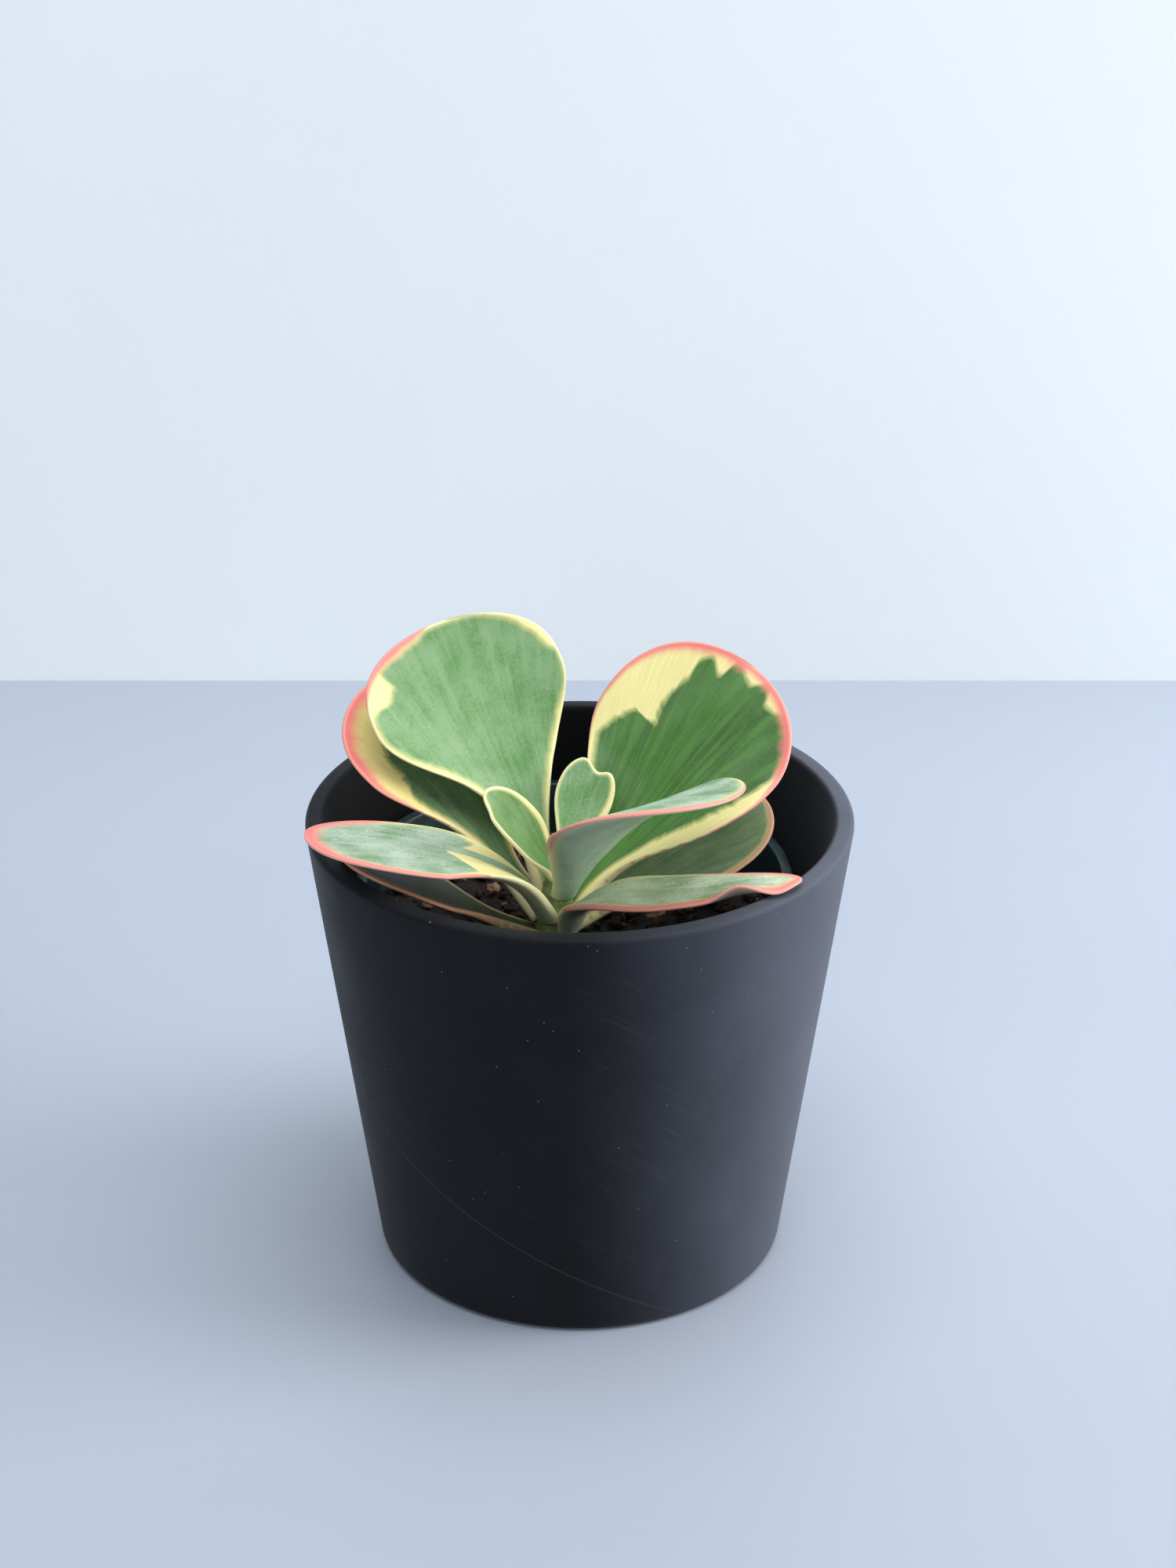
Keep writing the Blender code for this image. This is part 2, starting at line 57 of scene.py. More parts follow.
# Nursery pot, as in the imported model
NURSERY_HEIGHT = 106.0
NURSERY_RIM_RADIUS = 60.0
NURSERY_LIP_WIDTH = 2.0
NURSERY_LIP_HEIGHT = 7.0
NURSERY_BASE_RADIUS = 43.0
NURSERY_WALL = 1.0
NURSERY_SHIFT_X = -1.5
NURSERY_SEGMENTS = 144
NURSERY_LIP_TAPER = 0.6        # how much narrower the rolled rim is at its lower edge
GAP = 0.3                      # clearance between pieces that touch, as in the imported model

# Soil: its top, the mound round the stem and the crumbs that lie on it
SOIL_EDGE_HEIGHT = 98.5
SOIL_MOUND = 1.0
SOIL_MOUND_SPREAD = 22.0
SOIL_ROUGHNESS = 0.9
SOIL_RINGS = 46
SOIL_SIDES = 160
CRUMB_CENTRE_RADIUS = 54.0     # the crumbs' centres are strewn within this radius
CRUMB_FIELD_RADIUS = 55.0      # no crumb reaches past this radius
CRUMB_STEM_ROOM = 6.5          # radius round the stem that stays free of crumbs

# Stem, with a ring of swelling at each old leaf node above the soil
STEM_LINE = [(-7.6, -19.2, 84), (-7.2, -18.6, 95), (-6.8, -17.8, 105), (-6.2, -16.6, 115),
             (-5.6, -15.8, 124.5)]
STEM_RADII = [5.6, 6.2, 5.6, 4.4, 2.2]
STEM_ROWS = 60
STEM_SIDES = 40
STEM_BARE_HEIGHT = 100.0       # the nodes swell above this height
NODE_HEIGHT = 103.5
NODE_SPACING = 4.6
NODE_SWELL = 0.15

# Leaf meshes
LEAF_LOW_ROWS = 44             # rings from the base to the widest place
LEAF_TIP_ROWS = 30             # rings from the widest place to the tip
LEAF_SIDES = 72                # points round one ring
EDGE_ROUNDNESS = 0.62          # 1 is an ellipse, less is a flatter blade with a rounder margin
LAST_PLACE = 1.0 - 1e-6        # the last ring stands just short of the tip
OUTLINE_LOW_POINTS = 120
OUTLINE_TIP_POINTS = 160
FAN_BACK = 10.0                # the veins fan out from this far behind the leaf's base
FAN_ANGLE = math.radians(32)   # vein angle at which the fan map reads 1
RIM_CENTRE = 0.92              # rim places are angles round this part of the way to the widest place
EDGE_REACH = 30.0              # distance from the margin at which the edge map reads 1

# Bud: out from the stem's axis and up, for each point of a leaflet's spine
BUD_SPINE = [(0.0, 0.0), (0.7, 2.4), (0.5, 5.0), (0.1, 7.0)]
BUD_TURN = 0.6
BUD_RISE = 0.6

# Stage, in metres
FLOOR_HALF_WIDTH = 3.0
BACKDROP_Y = 0.385
BACKDROP_HALF_WIDTH = 0.7
BACKDROP_BOTTOM = -0.01
BACKDROP_TOP = 0.6
CAMERA_PLACE = (0.00225, -0.846, 0.54375)
CAMERA_LOOKS_DOWN = math.radians(25.55)
CAMERA_LENS = 79.2
CAMERA_SENSOR = 36.0
LIGHT_TARGET = (0, 0, 0.12)


@dataclass
class Leaf:
    """One leaf's shape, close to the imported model's, and the colours and pattern of its skin.
    Places run from 0 at the base to 1 at the tip. Rim places run from -1 to 1 round the blade, with
    0 at the tip and the left side below 0."""

    name: str
    spine: list                                    # points of the midrib, from base to tip
    face: list                                     # where the upper side faces along the midrib
    left: float                                    # widest half-width of the left side
    right: float                                   # widest half-width of the right side
    petiole: float                                 # half-width at the base
    flare: float                                   # place where the blade starts to widen
    widest: float                                  # place where it is widest
    waist: tuple                                   # left and right: more keeps the base slim longer
    tip: float                                     # 2 is an elliptic tip, more is a blunter one
    cup: list                                      # degrees that each side bends up, base to tip
    thick: tuple                                   # thickness at the base and in the blade
    slot: str
    notch: tuple = (0.0, 1.0, 0.0)                 # depth, spread and offset of the tip's notch
    lifts: list = field(default_factory=list)      # (place, spread, side, height) of each fold
    wave: tuple = (0.0, 3.0, 0.0)                  # height, count and phase of the margin's wave
    dark: tuple = (0.08, 0.22, 0.05)               # colour of the streaks along the veins
    green: tuple = (0.15, 0.31, 0.11)
    bloom_colour: tuple = (0.34, 0.49, 0.29)
    cream: tuple = (0.86, 0.76, 0.34)
    pink: tuple = (0.85, 0.14, 0.17)
    bloom: float = 0.5                             # how much powdery bloom covers the green
    bands: list = field(default_factory=list)      # (rim place, width of the cream band)
    jag: float = 3.0                               # depth of the teeth between green and cream
    soft: float = 1.0                              # how softly green turns into cream
    blush: list = field(default_factory=list)      # (rim place, width of the pink margin)
    under: tuple = (0.34, 0.48, 0.37)              # colour mixed in on the underside


LEAVES = [
    Leaf("leaf_back_left_tall",
         spine=[(-8.4, -14.0, 113), (-14, -5.5, 128), (-21.5, 1, 143), (-30, 8, 162), (-37, 15, 181.2)],
         face=[(0.45, -0.75, 0.45), (0.45, -0.78, 0.45), (0.25, -0.85, 0.45)],
         left=30.5, right=28, petiole=4.2, flare=0.06, widest=0.73, waist=(2.4, 1.3), tip=2.5,
         cup=[50, 22, 10], thick=(4.6, 2.4), slot="leaf_green", wave=(0.5, 3.0, 0.4),
         bands=[(-1, 0.8), (-0.7, 1.4), (-0.5, 1.0), (-0.42, 1.0), (-0.36, 6.5), (-0.31, 6), (-0.27, 1.6),
                (-0.2, 2.2), (-0.12, 1.8), (-0.06, 0.4), (0.1, 0.3), (0.2, 1.2), (0.3, 2.2),
                (0.36, 2.4), (0.42, 0.3), (0.52, 0.4), (0.6, 1.4), (1, 0.8)],
         blush=[(-1, 0), (-0.42, 0), (-0.34, 1.5), (-0.2, 3.4), (-0.1, 2), (-0.04, 0), (1, 0)]),
    Leaf("leaf_left_tall",
         spine=[(-10.0, -15.4, 107), (-20, -8, 118), (-31, -1, 132), (-44, 6, 147), (-58, 13, 163)],
         face=[(0.5, -0.4, 0.75), (0.5, -0.5, 0.7), (0.45, -0.6, 0.6)],
         left=22.5, right=24, petiole=4.4, flare=0.10, widest=0.72, waist=(2.1, 1.6), tip=2.5,
         cup=[50, 22, 12], thick=(4.6, 2.4), slot="leaf_cream", wave=(0.5, 2.0, 1.0),
         dark=(0.035, 0.085, 0.015), green=(0.075, 0.17, 0.035), bloom=0.2, cream=(0.78, 0.62, 0.24),
         bands=[(-1, 1.0), (-0.75, 1.8), (-0.62, 4), (-0.5, 9), (-0.3, 11), (0, 10), (0.4, 6), (1, 1.0)],
         blush=[(-1, 0), (-0.7, 0.3), (-0.5, 2.5), (-0.3, 6), (0.1, 5), (0.4, 2), (1, 0)]),
    Leaf("leaf_right_tall",
         spine=[(-3.0, -15.8, 109.3), (9, -8, 122), (21, -1, 136), (34.5, 8, 152), (48, 15, 167)],
         face=[(-0.4, -0.55, 0.7), (-0.4, -0.65, 0.6), (-0.3, -0.8, 0.5)],
         left=30, right=28.5, petiole=4.4, flare=0.06, widest=0.64, waist=(1.0, 1.15), tip=2.5,
         cup=[50, 22, 10], thick=(4.6, 2.4), slot="leaf_deep", wave=(0.5, 3.0, 2.0), bloom=0.12,
         dark=(0.03, 0.105, 0.01), green=(0.075, 0.23, 0.03),
         bands=[(-1, 1.2), (-0.65, 1.5), (-0.58, 2), (-0.52, 4), (-0.46, 7), (-0.4, 10), (-0.36, 17),
                (-0.32, 16), (-0.25, 13), (-0.17, 9), (-0.12, 3), (-0.08, 7), (-0.04, 1), (0.02, 4.5),
                (0.06, 1), (0.11, 4.5), (0.16, 1.6), (0.3, 1), (0.4, 3), (0.5, 5), (0.7, 5),
                (1, 1.5)],
         blush=[(-1, 0), (-0.6, 0.5), (-0.45, 1.5), (-0.3, 3.2), (-0.1, 4.6), (0.05, 4), (0.2, 4.8),
                (0.35, 3), (0.5, 0.8), (1, 0)]),
    Leaf("leaf_front_right",
         spine=[(-4.2, -19.0, 115.5), (0.5, -26.5, 129), (9.5, -34, 143.5), (21.5, -43, 154),
                (38.5, -54, 160.5)],
         face=[(-0.3, 0.5, 0.8), (-0.05, 0.22, 0.94), (-0.08, 0.25, 0.93)],
         left=26, right=26, petiole=3.8, flare=0.0, widest=0.62, waist=(1.0, 1.05), tip=2.4,
         cup=[50, 8, 4], thick=(4.6, 2.4), slot="leaf_bloom", bloom=0.95,
         bloom_colour=(0.50, 0.62, 0.50), green=(0.22, 0.38, 0.22), under=(0.44, 0.60, 0.47),
         bands=[(-1, 1.0), (-0.4, 1), (0.1, 1.0), (0.3, 2), (0.6, 3), (1, 1.0)],
         blush=[(-1, 0), (-0.3, 0.5), (0.0, 1.5), (0.3, 3), (0.7, 3.4), (0.82, 1), (0.88, 0), (1, 0)]),
    Leaf("leaf_right_low",
         spine=[(-3.8, -15.2, 104), (12, -8, 111), (25, -1, 118), (38, 6, 124), (50, 13, 130)],
         face=[(-0.2, -0.3, 0.9), (-0.2, -0.35, 0.9), (-0.2, -0.4, 0.85)],
         left=20, right=20, petiole=4.4, flare=0.12, widest=0.62, waist=(1.0, 1.0), tip=2.3,
         cup=[50, 20, 10], thick=(4.4, 2.3), slot="leaf_shade", bloom=0.35,
         dark=(0.08, 0.16, 0.045), green=(0.18, 0.27, 0.10), bloom_colour=(0.38, 0.46, 0.29),
         pink=(0.55, 0.18, 0.12), under=(0.20, 0.27, 0.15),
         bands=[(-1, 1.0), (0, 0.8), (0.6, 1.2), (1, 1.0)],
         blush=[(-1, 0), (-0.4, 1), (0, 2.2), (0.5, 2.0), (0.8, 0.5), (1, 0)]),
    Leaf("leaf_front_low",
         spine=[(-2.9, -22.6, 106.6), (0.3, -27, 115.5), (6, -32, 120.5), (20, -38, 124.5),
                (38, -42, 128.5), (58, -46, 133.5)],
         face=[(-0.3, 0.2, 0.92), (-0.15, 0.12, 0.97), (-0.1, 0.2, 0.95)],
         left=12, right=13, petiole=3.6, flare=0.0, widest=0.45, waist=(0.7, 0.7), tip=2.4,
         cup=[30, 10, 6], thick=(4.4, 2.3), slot="leaf_bloom", bloom=0.95,
         bloom_colour=(0.72, 0.78, 0.58), green=(0.42, 0.53, 0.32),
         under=(0.46, 0.58, 0.50),
         lifts=[(0.80, 0.07, 1, 3.2), (0.93, 0.05, 1, -1.2)],
         bands=[(-1, 0.8), (-0.3, 0.8), (0, 1.5), (0.5, 2.5), (1, 0.8)],
         blush=[(-1, 0), (-0.3, 1), (0, 4), (0.5, 4.5), (0.8, 3), (0.89, 0), (1, 0)]),
    Leaf("leaf_left_level",
         spine=[(-8.8, -20.3, 109.2), (-15.2, -25.4, 121), (-27, -28, 130), (-49, -28.5, 135.6),
                (-72.8, -28.5, 138.6)],
         face=[(0.4, 0.15, 0.8), (0.2, 0.08, 0.95), (0.05, 0.1, 0.95)],
         left=27, right=12, petiole=4.2, flare=0.06, widest=0.58, waist=(1.2, 1.2), tip=2.3,
         cup=[50, 14, 6], thick=(4.6, 2.4), slot="leaf_bloom", bloom=0.95,
         bloom_colour=(0.47, 0.57, 0.46), green=(0.25, 0.38, 0.25),
         bands=[(-1, 1.5), (-0.96, 3), (-0.9, 15), (-0.78, 17), (-0.7, 8), (-0.62, 2.5), (-0.2, 1.5),
                (0, 2), (0.5, 0.8), (0.8, 3), (0.9, 8), (0.96, 3), (1, 1.5)],
         blush=[(-1, 0), (-0.7, 0), (-0.6, 1.8), (-0.2, 4), (0.0, 7), (0.12, 5), (0.25, 1), (1, 0)]),
    Leaf("leaf_left_low",
         spine=[(-10.4, -18.6, 102.2), (-22, -22, 108.5), (-36, -26, 117.5), (-50, -29, 126.5),
                (-63.5, -30, 133)],
         face=[(0.3, 0.1, 0.9), (0.3, 0.12, 0.9), (0.3, 0.15, 0.9)],
         left=15.5, right=18, petiole=4.2, flare=0.12, widest=0.68, waist=(1.5, 1.5), tip=2.3,
         cup=[50, 16, 6], thick=(4.4, 2.3), slot="leaf_shade", bloom=0.15,
         # painted shade: this low leaf's colours are darkened for the shade it lies in beneath the leaves
         # above
         dark=(0.02, 0.03, 0.008), green=(0.055, 0.07, 0.02), bloom_colour=(0.13, 0.16, 0.08),
         pink=(0.55, 0.12, 0.08), cream=(0.62, 0.45, 0.2), under=(0.06, 0.075, 0.03),
         bands=[(-1, 0.8), (0, 0.8), (1, 0.8)],
         blush=[(-1, 0), (-0.8, 1), (-0.4, 2.5), (0, 2.5), (0.5, 1), (1, 0)]),
    Leaf("young_leaf_back",
         spine=[(-4.6, -14.4, 119.5), (-1.2, -7.8, 130), (1.5, -3, 138), (4.5, 1, 147)],
         face=[(0, -0.8, 0.5), (0, -0.85, 0.5), (0, -0.85, 0.5)],
         left=8, right=8, petiole=3.0, flare=0.1, widest=0.66, waist=(1.0, 1.0), tip=2.3,
         cup=[40, 20, 10], thick=(2.6, 1.8), slot="leaf_green", notch=(3.5, 3.0, 1.5), bloom=0.7,
         bands=[(-1, 0.6), (0, 0.4), (0.3, 1.2), (0.6, 1.6), (1, 0.6)], jag=0.6, soft=0.5,
         blush=[(-1, 0), (1, 0)]),
    Leaf("young_leaf_left",
         spine=[(-7.8, -17.0, 120.5), (-12.8, -21.8, 130), (-18.5, -26.5, 140), (-26, -31, 150.5)],
         face=[(0.6, -0.3, 0.5), (0.6, -0.35, 0.5), (0.6, -0.4, 0.5)],
         left=7.5, right=9.5, petiole=2.8, flare=0.0, widest=0.45, waist=(1.0, 0.6), tip=2.3,
         cup=[60, 40, 30], thick=(2.6, 1.8), slot="leaf_green", notch=(3.0, 2.5, -2.0), bloom=0.3,
         green=(0.17, 0.30, 0.09),
         bands=[(-1, 0.6), (0, 0.5), (0.3, 1.4), (0.7, 1.6), (1, 0.6)], jag=0.6, soft=0.5,
         blush=[(-1, 0), (1, 0)]),
]


# ---------------------------------------------------------------------------------- mesh helpers

def smooth_step(value):
    value = np.clip(value, 0.0, 1.0)
    return value * value * (3.0 - 2.0 * value)


def blend(keys, places):
    """Interpolate linearly between evenly spaced keys."""
    keys = np.array(keys, float)
    even = np.linspace(0, 1, len(keys))
    if keys.ndim == 1:
        return np.interp(places, even, keys)
    return np.stack([np.interp(places, even, keys[:, axis]) for axis in range(3)], -1)


def unit(vectors):
    return vectors / np.linalg.norm(vectors, axis=-1, keepdims=True)


class Path:
    """A smooth curve through a few points, measured from 0 at the first to 1 at the last."""

    def __init__(self, points):
        self.points = np.array(points, float)
        steps = np.linalg.norm(np.diff(self.points, axis=0), axis=1)
        self.length = steps.sum()
        self.knots = np.concatenate([[0.0], np.cumsum(steps)]) / self.length
        chords = np.diff(self.points, axis=0) / np.diff(self.knots)[:, None]
        first = chords[0] * 1.5 - (chords[0] + chords[1]) * 0.25
        last = chords[-1] * 1.5 - (chords[-1] + chords[-2]) * 0.25
        self.slopes = np.vstack([first, (chords[:-1] + chords[1:]) * 0.5, last])

    def at(self, places):
        places = np.clip(places, 0.0, 1.0)
        index = np.clip(np.searchsorted(self.knots, places, side="left") - 1, 0, len(self.points) - 2)
        span = (self.knots[index + 1] - self.knots[index])[..., None]
        t = (places - self.knots[index])[..., None] / span
        return (self.points[index] * (2 * t ** 3 - 3 * t ** 2 + 1)
                + self.slopes[index] * span * (t ** 3 - 2 * t ** 2 + t)
                + self.points[index + 1] * (3 * t ** 2 - 2 * t ** 3)
                + self.slopes[index + 1] * span * (t ** 3 - t ** 2))

    def direction(self, places, step=0.002):
        return unit(self.at(places + step) - self.at(places - step))


def link_mesh(name, points, faces, material, smooth=True):
    """Make an object from points in millimetres, let it ride with the model and return it."""
    mesh = bpy.data.meshes.new(name)
    mesh.from_pydata([tuple(point) for point in np.asarray(points) * MM], [], faces)
    mesh.update()
    if smooth:
        mesh.shade_smooth()
    mesh.materials.append(material)
    piece = bpy.data.objects.new(name, mesh)
    bpy.context.collection.objects.link(piece)
    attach(piece, "root")
    return piece


def ring_faces(rows, sides, first_pole=None, last_pole=None):
    """Quads between rings of points, and fans to a pole point at either end."""
    faces = []
    for row in range(rows - 1):
        for side in range(sides):
            after = (side + 1) % sides
            faces.append((row * sides + side, row * sides + after,
                          (row + 1) * sides + after, (row + 1) * sides + side))
    for side in range(sides):
        after = (side + 1) % sides
        if first_pole is not None:
            faces.append((first_pole, after, side))
        if last_pole is not None:
            base = (rows - 1) * sides
            faces.append((last_pole, base + side, base + after))
    return faces


def set_uv(piece, name, values, wraps=False):
    """Give every corner of the mesh its point's pair of values. Where the first value wraps round
    from 1 to 0 within a face, the face's corners are brought to one side."""
    mesh = piece.data
    layer = mesh.uv_layers.new(name=name)
    corners = np.empty(len(mesh.loops), int)
    mesh.loops.foreach_get("vertex_index", corners)
    pairs = np.asarray(values, np.float32)[corners]
    if wraps:
        for polygon in mesh.polygons:
            part = pairs[polygon.loop_start:polygon.loop_start + polygon.loop_total, 0]
            if part.max() - part.min() > 0.5:
                if (part > 0.98).sum() < (part < 0.5).sum():
                    part[part > 0.5] = 0.0
                else:
                    part[part < 0.5] = 1.0
    layer.data.foreach_set("uv", pairs.ravel())


def rounded(profile, radii, steps=5):
    """Replace each corner of an open profile by an arc. A radius of 0 keeps the corner."""
    result = []
    for index, (point, radius) in enumerate(zip(profile, radii)):
        corner = Vector(point)
        if radius == 0 or index in (0, len(profile) - 1):
            result.append(corner)
            continue
        before = (Vector(profile[index - 1]) - corner).normalized()
        after = (Vector(profile[index + 1]) - corner).normalized()
        half = before.angle(after) / 2
        centre = corner + (before + after).normalized() * (radius / math.sin(half))
        start = corner + before * (radius / math.tan(half)) - centre
        end = corner + after * (radius / math.tan(half)) - centre
        for step in range(steps + 1):
            result.append(centre + start.slerp(end, step / steps) * radius)
    return result


def subdivided(profile, longest):
    """Add points to long straight stretches, so that the shading and any wobble stay smooth."""
    result = [profile[0]]
    for start, end in zip(profile, profile[1:]):
        count = max(1, math.ceil((end - start).length / longest))
        for step in range(1, count + 1):
            result.append(start.lerp(end, step / count))
    return result


def lathe(name, profile, segments, shift_x, material):
    """Turn a profile that starts and ends on the axis. The UV map holds the turn, as an arc on the
    planter's top radius, and the height, both in metres."""
    inner = profile[1:-1]
    points = []
    uv = []
    for radius, height in inner:
        for step in range(segments):
            angle = 2 * math.pi * step / segments
            points.append((shift_x + radius * math.sin(angle), radius * math.cos(angle), height))
            arc = (angle - math.pi) * PLANTER_TOP_RADIUS
            uv.append((-arc * MM, height * MM))
    first, last = len(points), len(points) + 1
    for point in (profile[0], profile[-1]):
        points.append((shift_x, 0, point[1]))
        uv.append((0, point[1] * MM))
    faces = [tuple(reversed(face)) for face in ring_faces(len(inner), segments, first, last)]
    piece = link_mesh(name, points, faces, material)
    set_uv(piece, "turned", uv)
    piece.data.set_sharp_from_angle(angle=math.radians(45))
    return piece


# ---------------------------------------------------------------------------------- node helpers

class Graph:
    """Short calls for building a material's node tree."""

    def __init__(self, name):
        self.material = bpy.data.materials.new(name)
        self.material.use_nodes = True
        self.nodes = self.material.node_tree.nodes
        self.links = self.material.node_tree.links
        self.shader = self.nodes["Principled BSDF"]

    def add(self, kind, **settings):
        node = self.nodes.new("ShaderNode" + kind)
        for key, value in settings.items():
            setattr(node, key, value)
        return node

    def feed(self, socket, value):
        """Link an output to a socket, or set the socket's own value."""
        if isinstance(value, bpy.types.NodeSocket):
            self.links.new(value, socket)
        else:
            socket.default_value = value

    def math(self, operation, *values):
        node = self.add("Math", operation=operation)
        for socket, value in zip(node.inputs, values):
            self.feed(socket, value)
        return node.outputs[0]

    def times(self, first, second):
        return self.math('MULTIPLY', first, second)

    def plus(self, first, second):
        return self.math('ADD', first, second)

    def minus(self, first, second):
        return self.math('SUBTRACT', first, second)

    def distance(self, x, y):
        return self.math('SQRT', self.plus(self.times(x, x), self.times(y, y)))

    def noise(self, vector, scale, detail=3.0, roughness=0.55):
        node = self.add("TexNoise")
        self.feed(node.inputs["Vector"], vector)
        node.inputs["Scale"].default_value = scale
        node.inputs["Detail"].default_value = detail
        node.inputs["Roughness"].default_value = roughness
        return node.outputs[0]

    def ranged(self, value, low, high, to_low=0.0, to_high=1.0, smooth=True):
        node = self.add("MapRange", interpolation_type='SMOOTHSTEP' if smooth else 'LINEAR')
        self.feed(node.inputs["Value"], value)
        for key, amount in (("From Min", low), ("From Max", high), ("To Min", to_low),
                            ("To Max", to_high)):
            self.feed(node.inputs[key], amount)
        return node.outputs[0]

    def mix(self, factor, first, second):
        node = self.add("Mix", data_type='RGBA')
        self.feed(node.inputs[0], factor)
        for socket, value in ((node.inputs[6], first), (node.inputs[7], second)):
            self.feed(socket, value if isinstance(value, bpy.types.NodeSocket) else (*value, 1.0))
        return node.outputs[2]

    def curve(self, value, points, top):
        """A curve through (place from -1 to 1, height) points. The value runs from 0 to 1."""
        node = self.add("FloatCurve")
        self.feed(node.inputs["Value"], value)
        line = node.mapping.curves[0]
        while len(line.points) < len(points):
            line.points.new(0.5, 0.5)
        for spot, (place, height) in zip(line.points, points):
            spot.location = (place * 0.5 + 0.5, height / top)
            spot.handle_type = 'AUTO_CLAMPED'
        node.mapping.update()
        return self.math('MAXIMUM', self.times(node.outputs[0], top), 0.0)

    def vector(self, x, y, z=0.0):
        node = self.add("CombineXYZ")
        for socket, value in zip(node.inputs, (x, y, z)):
            self.feed(socket, value)
        return node.outputs[0]

    def uv(self, name):
        node = self.add("UVMap", uv_map=name)
        split = self.add("SeparateXYZ")
        self.links.new(node.outputs[0], split.inputs[0])
        return split.outputs[0], split.outputs[1]

    def position(self):
        return self.add("TexCoord").outputs["Object"]

    def bump(self, height, distance, strength=1.0, after=None):
        node = self.add("Bump")
        self.feed(node.inputs["Height"], height)
        node.inputs["Distance"].default_value = distance
        node.inputs["Strength"].default_value = strength
        if after is not None:
            self.links.new(after, node.inputs["Normal"])
        return node.outputs[0]

    def finish(self, colour, roughness, normal=None, **values):
        self.feed(self.shader.inputs["Base Color"], colour)
        self.feed(self.shader.inputs["Roughness"], roughness)
        if normal is not None:
            self.links.new(normal, self.shader.inputs["Normal"])
        for key, value in values.items():
            self.shader.inputs[key.replace("_", " ")].default_value = value
        return self.material


# ---------------------------------------------------------------------------------- materials

def planter_material():
    """Charcoal moulded composite: faint mottling, a dusty right side lightened with painted light,
    rubbed arcs, fine scratches, pale specks and painted shade inside."""
    charcoal, pale_charcoal = (0.004, 0.0045, 0.006), (0.008, 0.009, 0.0115)
    dust_and_lit_grey, rub_grey = (0.130, 0.142, 0.185), (0.085, 0.09, 0.10)
    scratch_grey, speck_grey = (0.10, 0.105, 0.12), (0.30, 0.31, 0.33)
    painted_inner_shade = (0.0015, 0.0018, 0.0018)
    arcs_centre = (-0.16, -0.19)           # arc and height, far outside the wall
    g = Graph("planter_matte")
    arc, height = g.uv("turned")
    place = g.vector(arc, height)
    mottled = g.noise(place, scale=22.0, detail=4.0, roughness=0.6)
    patches = g.noise(place, scale=14.0, detail=2.0, roughness=0.5)
    split = g.add("SeparateXYZ")
    g.links.new(g.position(), split.inputs[0])
    x, y, z = split.outputs

    # rubbed arcs: noise that is long round a far centre and short across it
    away_x = g.minus(arc, arcs_centre[0])
    away_y = g.minus(height, arcs_centre[1])
    far = g.distance(away_x, away_y)
    turn = g.math('ARCTAN2', away_y, away_x)
    stretched = g.vector(g.times(far, 900.0), g.times(turn, 9.0))
    lines = g.ranged(g.noise(stretched, scale=1.0, detail=3.0, roughness=0.6), 0.56, 0.74)
    right = g.ranged(x, -0.015, 0.045)
    where = g.times(g.ranged(patches, 0.42, 0.66), g.plus(g.times(right, 0.9), 0.1))
    rub = g.times(lines, where)

    # single scratches
    tilted = g.vector(g.plus(g.times(arc, 7.0), g.times(height, 16.0)),
                      g.plus(g.times(height, 420.0), g.times(arc, 190.0)))
    scratch = g.times(g.ranged(g.noise(tilted, scale=1.0, detail=1.0), 0.70, 0.76), 0.6)

    # pale specks, in a few of the cells of a fine pattern
    cells = g.add("TexVoronoi")
    g.feed(cells.inputs["Vector"], place)
    cells.inputs["Scale"].default_value = 420.0
    chosen = g.add("SeparateColor")
    g.links.new(cells.outputs["Color"], chosen.inputs[0])
    speck = g.times(g.ranged(cells.outputs["Distance"], 0.10, 0.05),
                    g.math('GREATER_THAN', chosen.outputs[0], 0.93))

    # painted light: the right side is lightened toward a pale blue-grey, partly dusty wear and partly the
    # side light that falls on that flank
    dust_and_side_light = g.times(g.ranged(x, -0.005, 0.075), g.ranged(mottled, 0.1, 0.8, to_low=0.6, to_high=1.0))
    tone = g.mix(g.ranged(mottled, 0.3, 0.7), charcoal, pale_charcoal)
    tone = g.mix(g.times(dust_and_side_light, 0.8), tone, dust_and_lit_grey)
    tone = g.mix(g.times(rub, 0.55), tone, rub_grey)
    tone = g.mix(g.times(scratch, 0.35), tone, scratch_grey)
    tone = g.mix(g.times(speck, 0.6), tone, speck_grey)

    # painted shade: the inside is darkened nearly to black, for the shade that falls within the pot
    slope = (PLANTER_TOP_RADIUS - PLANTER_BASE_RADIUS) / PLANTER_HEIGHT
    wall = g.plus(g.times(z, slope), PLANTER_BASE_RADIUS * MM)
    inside = g.ranged(g.minus(wall, g.distance(x, y)), 0.0040, 0.0055)
    tone = g.mix(g.times(inside, 0.85), tone, painted_inner_shade)

    rough = g.plus(g.ranged(mottled, 0.3, 0.7, to_low=0.46, to_high=0.58), g.times(rub, 0.1))
    rough = g.plus(rough, g.times(inside, 0.3))
    grain = g.noise(g.position(), scale=2600.0, detail=3.0, roughness=0.6)
    worn = g.minus(mottled, g.times(g.plus(lines, scratch), 0.25))
    normal = g.bump(grain, distance=0.00012, strength=0.5)
    normal = g.bump(worn, distance=0.00015, strength=0.5, after=normal)
    return g.finish(tone, rough, normal, Specular_IOR_Level=0.10, Sheen_Weight=0.04,
                    Sheen_Roughness=0.5)


def nursery_material():
    g = Graph("nursery_plastic")
    wear = g.noise(g.position(), scale=90.0, detail=4.0)
    tone = g.mix(g.ranged(wear, 0.3, 0.75), (0.003, 0.013, 0.015), (0.008, 0.034, 0.037))
    normal = g.bump(g.noise(g.position(), scale=1400.0), distance=0.0001, strength=0.4)
    return g.finish(tone, g.ranged(wear, 0.3, 0.7, to_low=0.3, to_high=0.5), normal)


